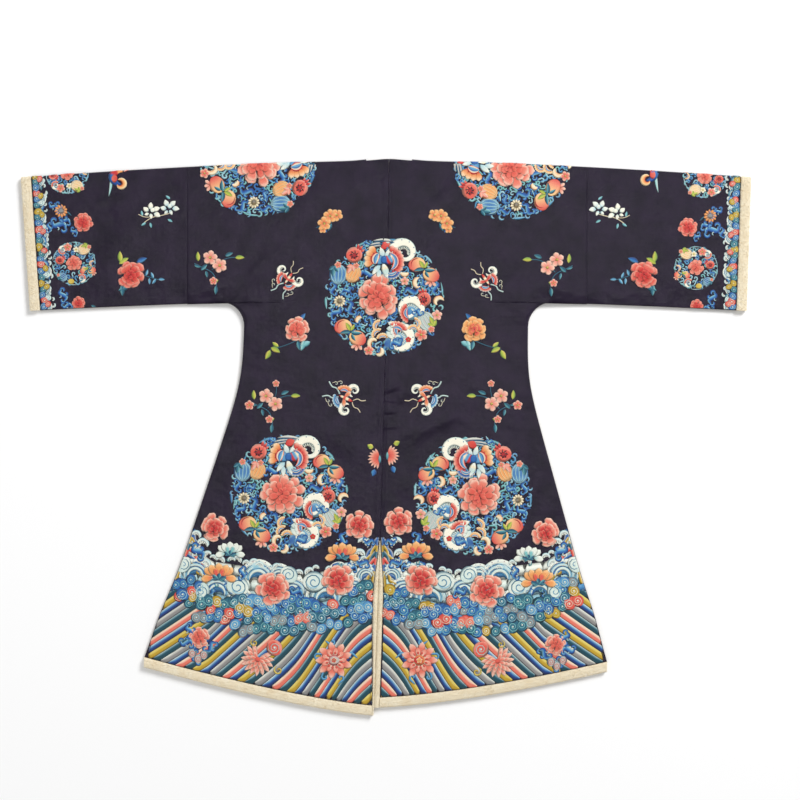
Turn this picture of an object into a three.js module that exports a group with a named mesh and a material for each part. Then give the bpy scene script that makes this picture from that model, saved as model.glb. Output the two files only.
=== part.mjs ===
// A woman's fur-lined surcoat of the Qing style, laid flat on its front with its back up.
// Millimetres, +Z up. The garment lies in the XY plane, its shoulders towards +Y, and z = 0 is the
// surface under it. Each half of the coat is one length of satin that runs up the back, over the
// shoulder and down the front, so there is no shoulder seam. A sleeve is pieced on at each side.
// The walls are satin, interlining and the pressed fur lining worked as one thickness.
import * as THREE from "three";

// Driving dimensions of the cut, along the cloth.
const SHOULDER_TOP = 662; // height of the shoulder fold beside the neck, from the middle of the coat
const HEM_LEVEL = -590; // mean height of the satin's lower edge
const VENT_TOP = -252; // upper end of the slit in the back
const UNDERARM = 328; // lower edge of the sleeve where it meets the body
const SLEEVE_SEAM = 480; // from the middle to the seam where the sleeve is pieced on
const CHEST_HALF = 341; // half width under the arm
const SKIRT_FLARE = 0.3056; // how far each side spreads for each millimetre down
const FLARE_START = 136; // height where the side begins to spread
const FLARE_SOFTNESS = 34;
const HEM_TUCK = { depth: 7, height: 170 }; // how far the fur draws the sides in above the hem
const ARMPIT = { across: 55, down: 61 }; // the curve between the sleeve and the side

const NECK_HALF = 55;
const NECK_DROP_FRONT = 85;
const NECK_DROP_BACK = 4;

// The coat lies a little askew: its middle leans and bends, and its halves end at their own levels.
const MIDDLE = { atTop: 5, lean: 0.015, bend: 9.8e-6 };
const SHOULDER_FALL = 40; // how far the shoulder line falls from the neck to the cuff
const SHOULDER_REACH = 870;
const SHOULDER_CURVE = 1.62;
const UNDERARM_SHARE = 0.7; // the share of that fall which the sleeve's lower edge follows
const NECK_RISE = { height: 8, spread: 60 };
const HALVES = {
  left: { side: -1, hemAtVent: -647, hemAtSide: -531, hemCurve: 1.3, cuffLow: 833, cuffSlant: 0.066 },
  right: { side: 1, hemAtVent: -628, hemAtSide: -542, hemCurve: 1.5, cuffLow: 839, cuffSlant: 0.033 },
};

const ORIGIN = { x: -2.4, y: -3.02 }; // the middle of the laid-out coat's box, seen from above

// Thicknesses.
const WALL = 4.5; // satin, interlining and pressed lining
const EDGE_WALL = 3.2; // the same at a seamed edge
const EDGE_ROUND = 1.2;
const EDGE_BAND = 8; // width over which a wall thins to its edge
const LAYER_GAP = 0.4; // between the front and the back that lies on it
const SEAM_GAP = 0.3; // between two pieces at a seam
const CROWN = 2.6; // extra loft of the lining away from the edges
const CROWN_REACH = 75;
const PLACKET = { recess: 2.8, flat: 46, end: 66 }; // the thin front edges, over the fastenings

// The fur edging.
const FUR_WIDTH = 24;
const FUR_THICK = 6.4;
const FUR_SHOULDER = 0.8; // how far the pile drops towards its sides
const VENT_FUR = {
  left: { wide: 12, low: 4 },
  right: { wide: 12, low: 13 },
};
const VENT_FUR_TIP = 1.6; // width of a vent strip at its upper end
const VENT_FUR_OPEN = 120; // length over which it widens

// Fastenings down the front edges: a flat knot on its strap, and a cord loop on its own strap.
const FASTENINGS = { count: 5, first: 540, spacing: 132, clear: 0.3 };
const KNOT_STATIONS = [
  { x: -5, half: 1.6, low: 0.9, high: 1.4 },
  { x: -3.6, half: 3.6, low: 0.2, high: 2 },
  { x: 0, half: 5, low: 0, high: 2.2 },
  { x: 3.4, half: 3.8, low: 0.2, high: 2.2 },
  { x: 4.8, half: 2.6, low: 1.5, high: 2.2 },
  { x: 8.2, half: 2.6, low: 1.5, high: 2.2 },
  { x: 12, half: 2.6, low: 1.2, high: 2.2 },
  { x: 37, half: 2.6, low: 1.2, high: 2.2 },
];
const LOOP = { inner: 5.3, outer: 7.4, thick: 1.2, strap: 28, strapHalf: 2.6 };

// The largest creases of the back: soft ridges, each at the middle of its length.
const CREASES = [
  { x: 92, y: 30, angle: 25, length: 230, width: 30, height: 3.4 },
  { x: 60, y: 118, angle: 28, length: 130, width: 26, height: 2.6 },
  { x: -112, y: -4, angle: -27, length: 230, width: 34, height: 2.8 },
  { x: -330, y: 330, angle: 52, length: 190, width: 30, height: 3.6 },
  { x: -424, y: 366, angle: 10, length: 190, width: 28, height: 3.2 },
  { x: 318, y: 330, angle: -54, length: 190, width: 30, height: 3.4 },
  { x: 432, y: 350, angle: -12, length: 210, width: 28, height: 3.4 },
  { x: -640, y: 452, angle: 62, length: 270, width: 38, height: 3.2 },
  { x: 650, y: 446, angle: -60, length: 270, width: 38, height: 3.2 },
  { x: -210, y: 560, angle: 8, length: 270, width: 36, height: 2.4 },
  { x: 236, y: 552, angle: -10, length: 250, width: 36, height: 2.4 },
  { x: -312, y: -150, angle: 77, length: 360, width: 42, height: 3.4 },
  { x: 296, y: -170, angle: -79, length: 340, width: 42, height: 3.4 },
  { x: -190, y: -420, angle: 86, length: 340, width: 44, height: 3.2 },
  { x: 176, y: -430, angle: -84, length: 330, width: 44, height: 3.2 },
  { x: -398, y: -430, angle: 72, length: 290, width: 42, height: 2.8 },
  { x: 388, y: -420, angle: -72, length: 280, width: 42, height: 2.8 },
];

const SATIN = { color: 0x2b2236, roughness: 0.48, metalness: 0 };
const FUR = { color: 0xf0e3c2, roughness: 0.95, metalness: 0 };
const CORD = { color: 0x241c2e, roughness: 0.6, metalness: 0 };

// Small helpers.
const clamp = (value, low, high) => Math.min(high, Math.max(low, value));
const mix = (a, b, t) => a + (b - a) * t;
const smooth = (from, to, value) => {
  const t = clamp((value - from) / (to - from), 0, 1);
  return t * t * (3 - 2 * t);
};
const spaced = (from, to, count) =>
  Array.from({ length: count }, (unused, i) => mix(from, to, i / (count - 1)));

// The outline of the cut, as distances from the middle at a height on the cloth.
function sideEdge(height) {
  if (height >= UNDERARM - 1) return SLEEVE_SEAM - SEAM_GAP / 2;
  const low = UNDERARM - ARMPIT.down;
  if (height > low) {
    const rise = (height - low) / ARMPIT.down;
    return CHEST_HALF + ARMPIT.across * (1 - Math.sqrt(1 - rise * rise));
  }
  const down = (FLARE_START - height) / FLARE_SOFTNESS;
  const tuck = HEM_TUCK.depth * smooth(HEM_LEVEL + HEM_TUCK.height, HEM_LEVEL, height);
  return CHEST_HALF + SKIRT_FLARE * FLARE_SOFTNESS * Math.log1p(Math.exp(down)) - tuck;
}
const cuffEdge = (name, height) =>
  HALVES[name].cuffLow + HALVES[name].cuffSlant * (height - UNDERARM);

function ventFurWidth(name, height) {
  const fur = VENT_FUR[name];
  const opened = mix(VENT_FUR_TIP, fur.wide, smooth(0, VENT_FUR_OPEN, VENT_TOP - height));
  return mix(opened, fur.low, smooth(VENT_TOP - VENT_FUR_OPEN, HEM_LEVEL, height));
}
function backMiddleEdge(name, height) {
  if (height > SHOULDER_TOP - NECK_DROP_BACK) return NECK_HALF;
  if (height > VENT_TOP) return SEAM_GAP / 2;
  return SEAM_GAP / 2 + ventFurWidth(name, height) + SEAM_GAP;
}
function frontMiddleEdge(height) {
  const drop = (SHOULDER_TOP - height) / NECK_DROP_FRONT;
  return drop < 1 ? Math.max(SEAM_GAP / 2, NECK_HALF * Math.sqrt(1 - drop * drop)) : SEAM_GAP / 2;
}

// Carries a point of the cut, (out from the middle, up the cloth), to its place on the table.
function place(name, out, up) {
  const { side, hemAtVent, hemAtSide, hemCurve } = HALVES[name];
  const rise = NECK_RISE.height * Math.exp(-((out / NECK_RISE.spread) ** 2));
  const fall = SHOULDER_FALL * (out / SHOULDER_REACH) ** SHOULDER_CURVE - rise;
  const share =
    UNDERARM_SHARE * smooth(UNDERARM - 220, UNDERARM, up) +
    (1 - UNDERARM_SHARE) * clamp((up - UNDERARM) / (SHOULDER_TOP - UNDERARM), 0, 1);
  const across = (out / sideEdge(HEM_LEVEL)) ** hemCurve;
  const hemShift = mix(hemAtVent, hemAtSide, across) - HEM_LEVEL;
  const y = up - fall * share + hemShift * smooth(VENT_TOP, HEM_LEVEL, up);
  const below = SHOULDER_TOP - y;
  const middle = MIDDLE.atTop - MIDDLE.lean * below - MIDDLE.bend * below * below;
  const onSleeve = smooth(CHEST_HALF - 40, SLEEVE_SEAM, out) * smooth(UNDERARM - 200, UNDERARM, up);
  return { x: side * out + middle * (1 - onSleeve), y };
}

// How far the back is lifted by its creases at a place on the table.
function creaseHeight(x, y) {
  let height = 0;
  for (const crease of CREASES) {
    const turn = THREE.MathUtils.degToRad(crease.angle);
    const along = (x - crease.x) * Math.cos(turn) + (y - crease.y) * Math.sin(turn);
    const aside = (y - crease.y) * Math.cos(turn) - (x - crease.x) * Math.sin(turn);
    const taper = 1 - smooth(0.25, 0.5, Math.abs(along) / crease.length);
    height += crease.height * taper * Math.exp(-((aside / crease.width) ** 2));
  }
  return height;
}

// Builds one closed solid from sections of equal length. A section holds the points of its outer
// face, of its inner face, and the two points at its rounded ends.
function wallGeometry(sections) {
  const columns = sections[0].outer.length;
  const size = 2 * columns + 2;
  const points = sections.flatMap(({ outer, inner, start, end }) => [
    ...outer, end, ...inner.slice().reverse(), start,
  ]);
  const index = [];
  const quad = (a, b, c, d) => index.push(a, b, c, a, c, d);
  for (let row = 0; row + 1 < sections.length; row++)
    for (let k = 0; k < size; k++) {
      const next = (k + 1) % size;
      quad(row * size + k, row * size + next, (row + 1) * size + next, (row + 1) * size + k);
    }
  for (const [base, flip] of [[0, true], [(sections.length - 1) * size, false]]) {
    const tri = (a, b, c) => index.push(base + a, base + (flip ? c : b), base + (flip ? b : c));
    for (let k = 0; k + 1 < columns; k++) {
      const below = 2 * columns - k;
      tri(k, k + 1, below - 1);
      tri(k, below - 1, below);
    }
    tri(columns - 1, columns, columns + 1);
    tri(0, size - 2, size - 1);
  }
  return facingOut(points, index);
}

// Builds one closed solid from convex rings of equal length, closed at both ends by fans.
function ringGeometry(rings) {
  const size = rings[0].length;
  const middle = (ring) => ring.reduce((sum, p) => sum.map((v, i) => v + p[i] / size), [0, 0, 0]);
  const last = rings.length - 1;
  const points = [...rings.flat(), middle(rings[0]), middle(rings[last])];
  const index = [];
  for (let row = 0; row < last; row++)
    for (let k = 0; k < size; k++) {
      const next = (k + 1) % size;
      const low = row * size;
      const high = low + size;
      index.push(low + k, low + next, high + next, low + k, high + next, high + k);
    }
  for (let k = 0; k < size; k++) {
    const next = (k + 1) % size;
    index.push(rings.length * size, next, k);
    index.push(rings.length * size + 1, last * size + k, last * size + next);
  }
  return facingOut(points, index);
}

// Makes the buffer geometry, and turns its faces round if they point inwards.
function facingOut(points, index) {
  let volume = 0;
  for (let i = 0; i < index.length; i += 3) {
    const [a, b, c] = [points[index[i]], points[index[i + 1]], points[index[i + 2]]];
    volume += a[0] * (b[1] * c[2] - b[2] * c[1]);
    volume += a[1] * (b[2] * c[0] - b[0] * c[2]);
    volume += a[2] * (b[0] * c[1] - b[1] * c[0]);
  }
  if (volume < 0)
    for (let i = 0; i < index.length; i += 3) {
      [index[i + 1], index[i + 2]] = [index[i + 2], index[i + 1]];
    }
  const geometry = new THREE.BufferGeometry();
  geometry.setAttribute("position", new THREE.Float32BufferAttribute(points.flat(), 3));
  geometry.setIndex(index);
  geometry.computeVertexNormals();
  return geometry;
}

function addMesh(group, name, geometry, finish) {
  const mesh = new THREE.Mesh(geometry, new THREE.MeshStandardMaterial(finish));
  mesh.name = name;
  group.add(mesh);
}

// The stops along a folded piece, from the lower edge of its back over the shoulder fold to the
// lower edge of its front. "across" is where the stop's two faces lie for a wall of this thickness.
const foldCentre = (wall) => SHOULDER_TOP - wall - LAYER_GAP / 2;
function foldStops(backHeights, frontHeights, wall) {
  const radius = wall + LAYER_GAP / 2;
  const centre = foldCentre(wall);
  const back = backHeights.map((up) => ({ up, layer: "back" }));
  const fold = [60, 30, 0, -30, -60].map((angle) => {
    const turn = THREE.MathUtils.degToRad(angle);
    return {
      up: centre,
      layer: "fold",
      outerUp: centre + radius * Math.cos(turn),
      outerZ: radius * (1 + Math.sin(turn)),
      innerUp: centre + (LAYER_GAP / 2) * Math.cos(turn),
      innerZ: radius + (LAYER_GAP / 2) * Math.sin(turn),
    };
  });
  const front = frontHeights.map((up) => ({ up, layer: "front" }));
  return [...back, ...fold, ...front];
}

// One folded piece: a body half, a sleeve or a cuff's fur.
function foldedPiece(cut) {
  const { name, backHeights, frontHeights, innerEdge, outerEdge, columns, wall, crown, placket } = cut;
  const sections = foldStops(backHeights, frontHeights, wall).map((stop) => {
    const from = innerEdge(stop.up, stop.layer);
    const to = outerEdge(stop.up, stop.layer);
    const outs = columns(from, to);
    const facePoints = (out) => {
      const edge = smooth(0, EDGE_BAND, Math.min(out - from, to - out));
      const shave = (1 - edge) * ((wall - EDGE_WALL) / 2);
      const held = clamp(out, from + EDGE_ROUND, to - EDGE_ROUND);
      if (stop.layer === "fold") {
        const up = place(name, held, stop.outerUp);
        const down = place(name, held, stop.innerUp);
        return { outer: [up.x, up.y, stop.outerZ], inner: [down.x, down.y, stop.innerZ] };
      }
      const at = place(name, held, stop.up);
      if (stop.layer === "front") {
        const recess = placket ? PLACKET.recess * (1 - smooth(PLACKET.flat, PLACKET.end, out)) : 0;
        return { outer: [at.x, at.y, Math.max(recess, shave)], inner: [at.x, at.y, wall - shave] };
      }
      const rest = wall + LAYER_GAP;
      const fade = edge * smooth(0, CROWN_REACH, SHOULDER_TOP - stop.up);
      const lift = creaseHeight(at.x, at.y) * fade;
      const reach = Math.min(to - out, SHOULDER_TOP - stop.up);
      const loft = crown * smooth(0, CROWN_REACH, reach) * edge;
      return {
        outer: [at.x, at.y, rest + wall - shave + lift + loft],
        inner: [at.x, at.y, rest + shave + lift],
      };
    };
    const faces = outs.map(facePoints);
    const tip = (out, face) => {
      const at = place(name, out, stop.layer === "fold" ? stop.outerUp : stop.up);
      const y = stop.layer === "fold" ? (face.outer[1] + face.inner[1]) / 2 : at.y;
      return [at.x, y, (face.outer[2] + face.inner[2]) / 2];
    };
    return {
      outer: faces.map((face) => face.outer),
      inner: faces.map((face) => face.inner),
      start: tip(from, faces[0]),
      end: tip(to, faces[faces.length - 1]),
    };
  });
  return wallGeometry(sections);
}

// Heights down the slit, where the body's edge and the fur along it both have their sections.
const ventHeights = [
  ...spaced(VENT_TOP, VENT_TOP - VENT_FUR_OPEN, 5),
  ...spaced(VENT_TOP - VENT_FUR_OPEN - 42, HEM_LEVEL + EDGE_BAND, 5),
];

// Body halves.
function bodyColumns(from, to) {
  const near = [0, EDGE_BAND, PLACKET.flat, PLACKET.end].map((offset) => from + offset);
  return [...near, ...spaced(near[3], to - EDGE_BAND, 9).slice(1), to];
}
function bodyHalf(name) {
  const armpit = [0, 22, 38, 49, 56, 60].map((rise) => UNDERARM - ARMPIT.down + rise);
  const fold = foldCentre(WALL);
  const backHeights = [
    HEM_LEVEL,
    ...ventHeights.slice().reverse(),
    ...spaced(VENT_TOP + 4, UNDERARM - ARMPIT.down - 36, 14),
    ...armpit,
    ...spaced(UNDERARM, fold - 8, 10),
    fold,
  ];
  const neck = [0, 6, 16, 30, 46, 62, 74, 81, NECK_DROP_FRONT].map((drop) => SHOULDER_TOP - drop);
  const frontHeights = [
    ...neck.filter((height) => height <= fold),
    ...spaced(SHOULDER_TOP - NECK_DROP_FRONT - 80, UNDERARM, 3),
    ...armpit.slice().reverse(),
    ...spaced(UNDERARM - ARMPIT.down - 90, HEM_LEVEL, 9),
  ];
  return foldedPiece({
    name,
    backHeights,
    frontHeights,
    innerEdge: (up, layer) => {
      if (layer === "fold") return NECK_HALF;
      return layer === "back" ? backMiddleEdge(name, up) : frontMiddleEdge(up);
    },
    outerEdge: sideEdge,
    columns: bodyColumns,
    wall: WALL,
    crown: CROWN,
    placket: true,
  });
}

// Sleeves, and the fur at their cuffs.
function sleeveHeights(count, wall) {
  return [UNDERARM, ...spaced(UNDERARM + EDGE_BAND, foldCentre(wall), count)];
}
function sleeve(name) {
  return foldedPiece({
    name,
    backHeights: sleeveHeights(9, WALL),
    frontHeights: sleeveHeights(4, WALL).reverse(),
    innerEdge: () => SLEEVE_SEAM + SEAM_GAP / 2,
    outerEdge: (up) => cuffEdge(name, up),
    columns: (from, to) => [from, ...spaced(from + EDGE_BAND, to - EDGE_BAND, 8), to],
    wall: WALL,
    crown: CROWN,
  });
}
function cuffFur(name) {
  return foldedPiece({
    name,
    backHeights: sleeveHeights(10, FUR_THICK),
    frontHeights: sleeveHeights(6, FUR_THICK).reverse(),
    innerEdge: (up) => cuffEdge(name, up) + SEAM_GAP,
    outerEdge: (up) => cuffEdge(name, up) + SEAM_GAP + FUR_WIDTH,
    columns: (from, to) => [from, from + 4, (from + to) / 2, to - 4, to],
    wall: FUR_THICK,
    crown: 0,
  });
}

// A strip of fur: a rounded bar whose section runs from one side to the other.
function furSection(pointAt, from, to, low, high) {
  const width = to - from;
  const inset = Math.min(3, width / 4);
  const middle = (low + high) / 2;
  return [
    pointAt(from, middle),
    pointAt(from + inset, high - FUR_SHOULDER),
    pointAt(from + width / 2, high),
    pointAt(to - inset, high - FUR_SHOULDER),
    pointAt(to, middle),
    pointAt(to - inset, low),
    pointAt(from + width / 2, low),
    pointAt(from + inset, low),
  ];
}

function hemFur(name, layer) {
  const upper = HEM_LEVEL - SEAM_GAP;
  const low = layer === "back" ? FUR_THICK + LAYER_GAP : 0;
  const inner = layer === "back" ? backMiddleEdge(name, HEM_LEVEL) : frontMiddleEdge(HEM_LEVEL);
  const rings = bodyColumns(inner, sideEdge(HEM_LEVEL)).map((out) => {
    const pointAt = (up, z) => {
      const at = place(name, out, up);
      return [at.x, at.y, z];
    };
    return furSection(pointAt, upper - FUR_WIDTH, upper, low, low + FUR_THICK);
  });
  return ringGeometry(rings);
}

function ventFur(name) {
  const hem = [HEM_LEVEL, HEM_LEVEL - FUR_WIDTH / 2, HEM_LEVEL - FUR_WIDTH];
  const rings = [...ventHeights, ...hem].map((height) => {
    const pointAt = (out, z) => {
      const at = place(name, out, height);
      return [at.x, at.y, z];
    };
    const low = mix(FUR_THICK, WALL, smooth(HEM_LEVEL, HEM_LEVEL + EDGE_BAND, height)) + LAYER_GAP;
    const top = mix(WALL + LAYER_GAP + WALL, 2 * FUR_THICK + LAYER_GAP, smooth(0, 60, VENT_TOP - height));
    const edge = SEAM_GAP / 2;
    return furSection(pointAt, edge, edge + ventFurWidth(name, height), low, top);
  });
  return ringGeometry(rings);
}

// The fastenings. A knot and its strap are one bar of changing section, eight points round.
function knotGeometry() {
  const rings = KNOT_STATIONS.map(({ x, half, low, high }) => {
    const inset = half * 0.6;
    const middle = (low + high) / 2;
    const upper = [[half, middle], [inset, high], [0, high], [-inset, high]];
    const lower = [[-half, middle], [-inset, low], [0, low], [inset, low]];
    return [...upper, ...lower].map(([y, z]) => [x, y, z]);
  });
  return ringGeometry(rings);
}
function loopGeometry() {
  const { inner, outer, strap, strapHalf, thick } = LOOP;
  const shape = new THREE.Shape();
  const meet = Math.asin(strapHalf / outer);
  shape.absarc(0, 0, outer, Math.PI + meet, 3 * Math.PI - meet, false);
  shape.lineTo(-outer - strap, strapHalf);
  shape.lineTo(-outer - strap, -strapHalf);
  shape.closePath();
  shape.holes.push(new THREE.Path().absarc(0, 0, inner, 0, 2 * Math.PI, true));
  return new THREE.ExtrudeGeometry(shape, { depth: thick, bevelEnabled: false, curveSegments: 10 });
}
function addFastenings(group) {
  for (let i = 0; i < FASTENINGS.count; i++) {
    const at = place("right", 0, FASTENINGS.first - i * FASTENINGS.spacing);
    const pair = new THREE.Group();
    pair.position.set(at.x, at.y, FASTENINGS.clear);
    addMesh(pair, `knot_${i + 1}`, knotGeometry(), CORD);
    addMesh(pair, `loop_${i + 1}`, loopGeometry(), CORD);
    group.add(pair);
  }
}

const surcoat = new THREE.Group();
surcoat.position.set(-ORIGIN.x, -ORIGIN.y, 0);
for (const name of ["left", "right"]) {
  addMesh(surcoat, `body_${name}`, bodyHalf(name), SATIN);
  addMesh(surcoat, `sleeve_${name}`, sleeve(name), SATIN);
  addMesh(surcoat, `cuff_fur_${name}`, cuffFur(name), FUR);
  addMesh(surcoat, `hem_fur_back_${name}`, hemFur(name, "back"), FUR);
  addMesh(surcoat, `hem_fur_front_${name}`, hemFur(name, "front"), FUR);
  addMesh(surcoat, `vent_fur_${name}`, ventFur(name), FUR);
}
addFastenings(surcoat);

export default surcoat;
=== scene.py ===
"""A woman's fur-lined surcoat of the Qing style, laid flat on its front with its back up.

The coat's satin shells, its silk embroidery, its fur edging and its seams are built here over the
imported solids. Sizes are in millimetres and become metres when a mesh is made. The row frame has its
origin under the middle of the laid-out coat, +Y towards the shoulders and +Z out of its back.
"""

from __future__ import annotations

import itertools
import logging
import math
import random
from collections.abc import Callable, Sequence
from dataclasses import dataclass, field
from enum import Enum
from functools import lru_cache

import bpy
import numpy as np
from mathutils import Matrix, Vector
from mathutils.bvhtree import BVHTree

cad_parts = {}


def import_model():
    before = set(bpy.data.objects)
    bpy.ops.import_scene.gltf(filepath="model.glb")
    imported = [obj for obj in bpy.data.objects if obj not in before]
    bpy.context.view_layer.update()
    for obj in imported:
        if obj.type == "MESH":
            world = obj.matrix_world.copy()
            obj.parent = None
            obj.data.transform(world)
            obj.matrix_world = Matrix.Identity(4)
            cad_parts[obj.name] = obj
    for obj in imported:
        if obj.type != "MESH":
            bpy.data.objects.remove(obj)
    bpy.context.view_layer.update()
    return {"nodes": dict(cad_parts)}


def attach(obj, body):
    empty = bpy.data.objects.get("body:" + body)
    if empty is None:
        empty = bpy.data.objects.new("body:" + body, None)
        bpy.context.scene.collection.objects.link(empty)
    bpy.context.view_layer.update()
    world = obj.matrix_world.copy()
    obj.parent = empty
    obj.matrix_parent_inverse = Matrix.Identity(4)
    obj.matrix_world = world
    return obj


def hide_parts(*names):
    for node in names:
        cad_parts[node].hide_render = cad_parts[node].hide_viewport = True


LOG = logging.getLogger("surcoat")
MM = 0.001
Tint = Callable[[np.ndarray, np.ndarray], np.ndarray]


class Half(Enum):
    """The halves of the coat, as they lie in the picture."""

    LEFT = -1
    RIGHT = 1


class Silk(Enum):
    """The embroidery's thread colours, as display red, green and blue."""

    RED = (0.78, 0.18, 0.18)
    DEEP_RED = (0.62, 0.13, 0.17)
    CORAL = (0.87, 0.36, 0.30)
    SALMON = (0.90, 0.47, 0.39)
    PINK = (0.93, 0.64, 0.56)
    BLUSH = (0.96, 0.81, 0.72)
    ORANGE = (0.93, 0.62, 0.36)
    APRICOT = (0.96, 0.78, 0.55)
    CREAM = (0.96, 0.90, 0.76)
    WHITE = (0.92, 0.94, 0.89)
    IVORY = (0.98, 0.96, 0.88)
    MIST = (0.78, 0.87, 0.84)
    ICE = (0.62, 0.80, 0.84)
    SKY = (0.36, 0.62, 0.78)
    BLUE = (0.17, 0.42, 0.68)
    ROYAL = (0.11, 0.29, 0.58)
    NAVY = (0.09, 0.17, 0.36)
    TEAL = (0.16, 0.41, 0.50)
    DEEP_TEAL = (0.08, 0.27, 0.32)
    AQUA = (0.49, 0.75, 0.75)
    OCHRE = (0.76, 0.62, 0.17)
    OLIVE = (0.50, 0.40, 0.12)
    LEMON = (0.88, 0.80, 0.42)
    GREY = (0.56, 0.55, 0.54)
    ASH = (0.76, 0.75, 0.72)
    SLATE = (0.36, 0.37, 0.40)
    LIME = (0.68, 0.74, 0.27)
    GREEN = (0.40, 0.55, 0.28)
    INK = (0.12, 0.09, 0.14)

    @property
    def linear(self) -> np.ndarray:
        """The colour in linear light."""
        return np.array([linear(c) for c in self.value])


Dyes = tuple[Silk, Silk, Silk]
BLOOM_RED = (Silk.RED, Silk.CORAL, Silk.PINK)
BLOOM_CORAL = (Silk.CORAL, Silk.SALMON, Silk.BLUSH)
BLOOM_PINK = (Silk.SALMON, Silk.PINK, Silk.BLUSH)
BLOOM_ORANGE = (Silk.CORAL, Silk.ORANGE, Silk.APRICOT)
BLOOM_WHITE = (Silk.AQUA, Silk.WHITE, Silk.WHITE)
BLOOM_CREAM = (Silk.LEMON, Silk.CREAM, Silk.WHITE)
LEAF_TEAL = (Silk.DEEP_TEAL, Silk.TEAL, Silk.AQUA)
LEAF_BLUE = (Silk.NAVY, Silk.BLUE, Silk.SKY)
LEAF_LIME = (Silk.GREEN, Silk.LIME, Silk.LEMON)


def linear(channel: float) -> float:
    """Turns a display colour channel into linear light.

    Args:
        channel: The display value, from 0 to 1.

    Returns:
        The linear value.
    """
    return channel / 12.92 if channel <= 0.04045 else ((channel + 0.055) / 1.055) ** 2.4


def smooth(start: float, end: float, value: np.ndarray | float) -> np.ndarray:
    """A soft step from 0 at start to 1 at end.

    Args:
        start: Where the step begins.
        end: Where it ends. It may be below start.
        value: Where to read it.

    Returns:
        The step's height, from 0 to 1.
    """
    t = np.clip((np.asarray(value, float) - start) / (end - start), 0, 1)
    return t * t * (3 - 2 * t)


@dataclass(frozen=True)
class HalfCut:
    """What differs between the halves: hem heights, the hem's curve and the cuff's place and slant."""

    hem_at_vent: float
    hem_at_side: float
    hem_curve: float
    cuff_low: float
    cuff_slant: float
    vent_fur_wide: float
    vent_fur_low: float


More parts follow.
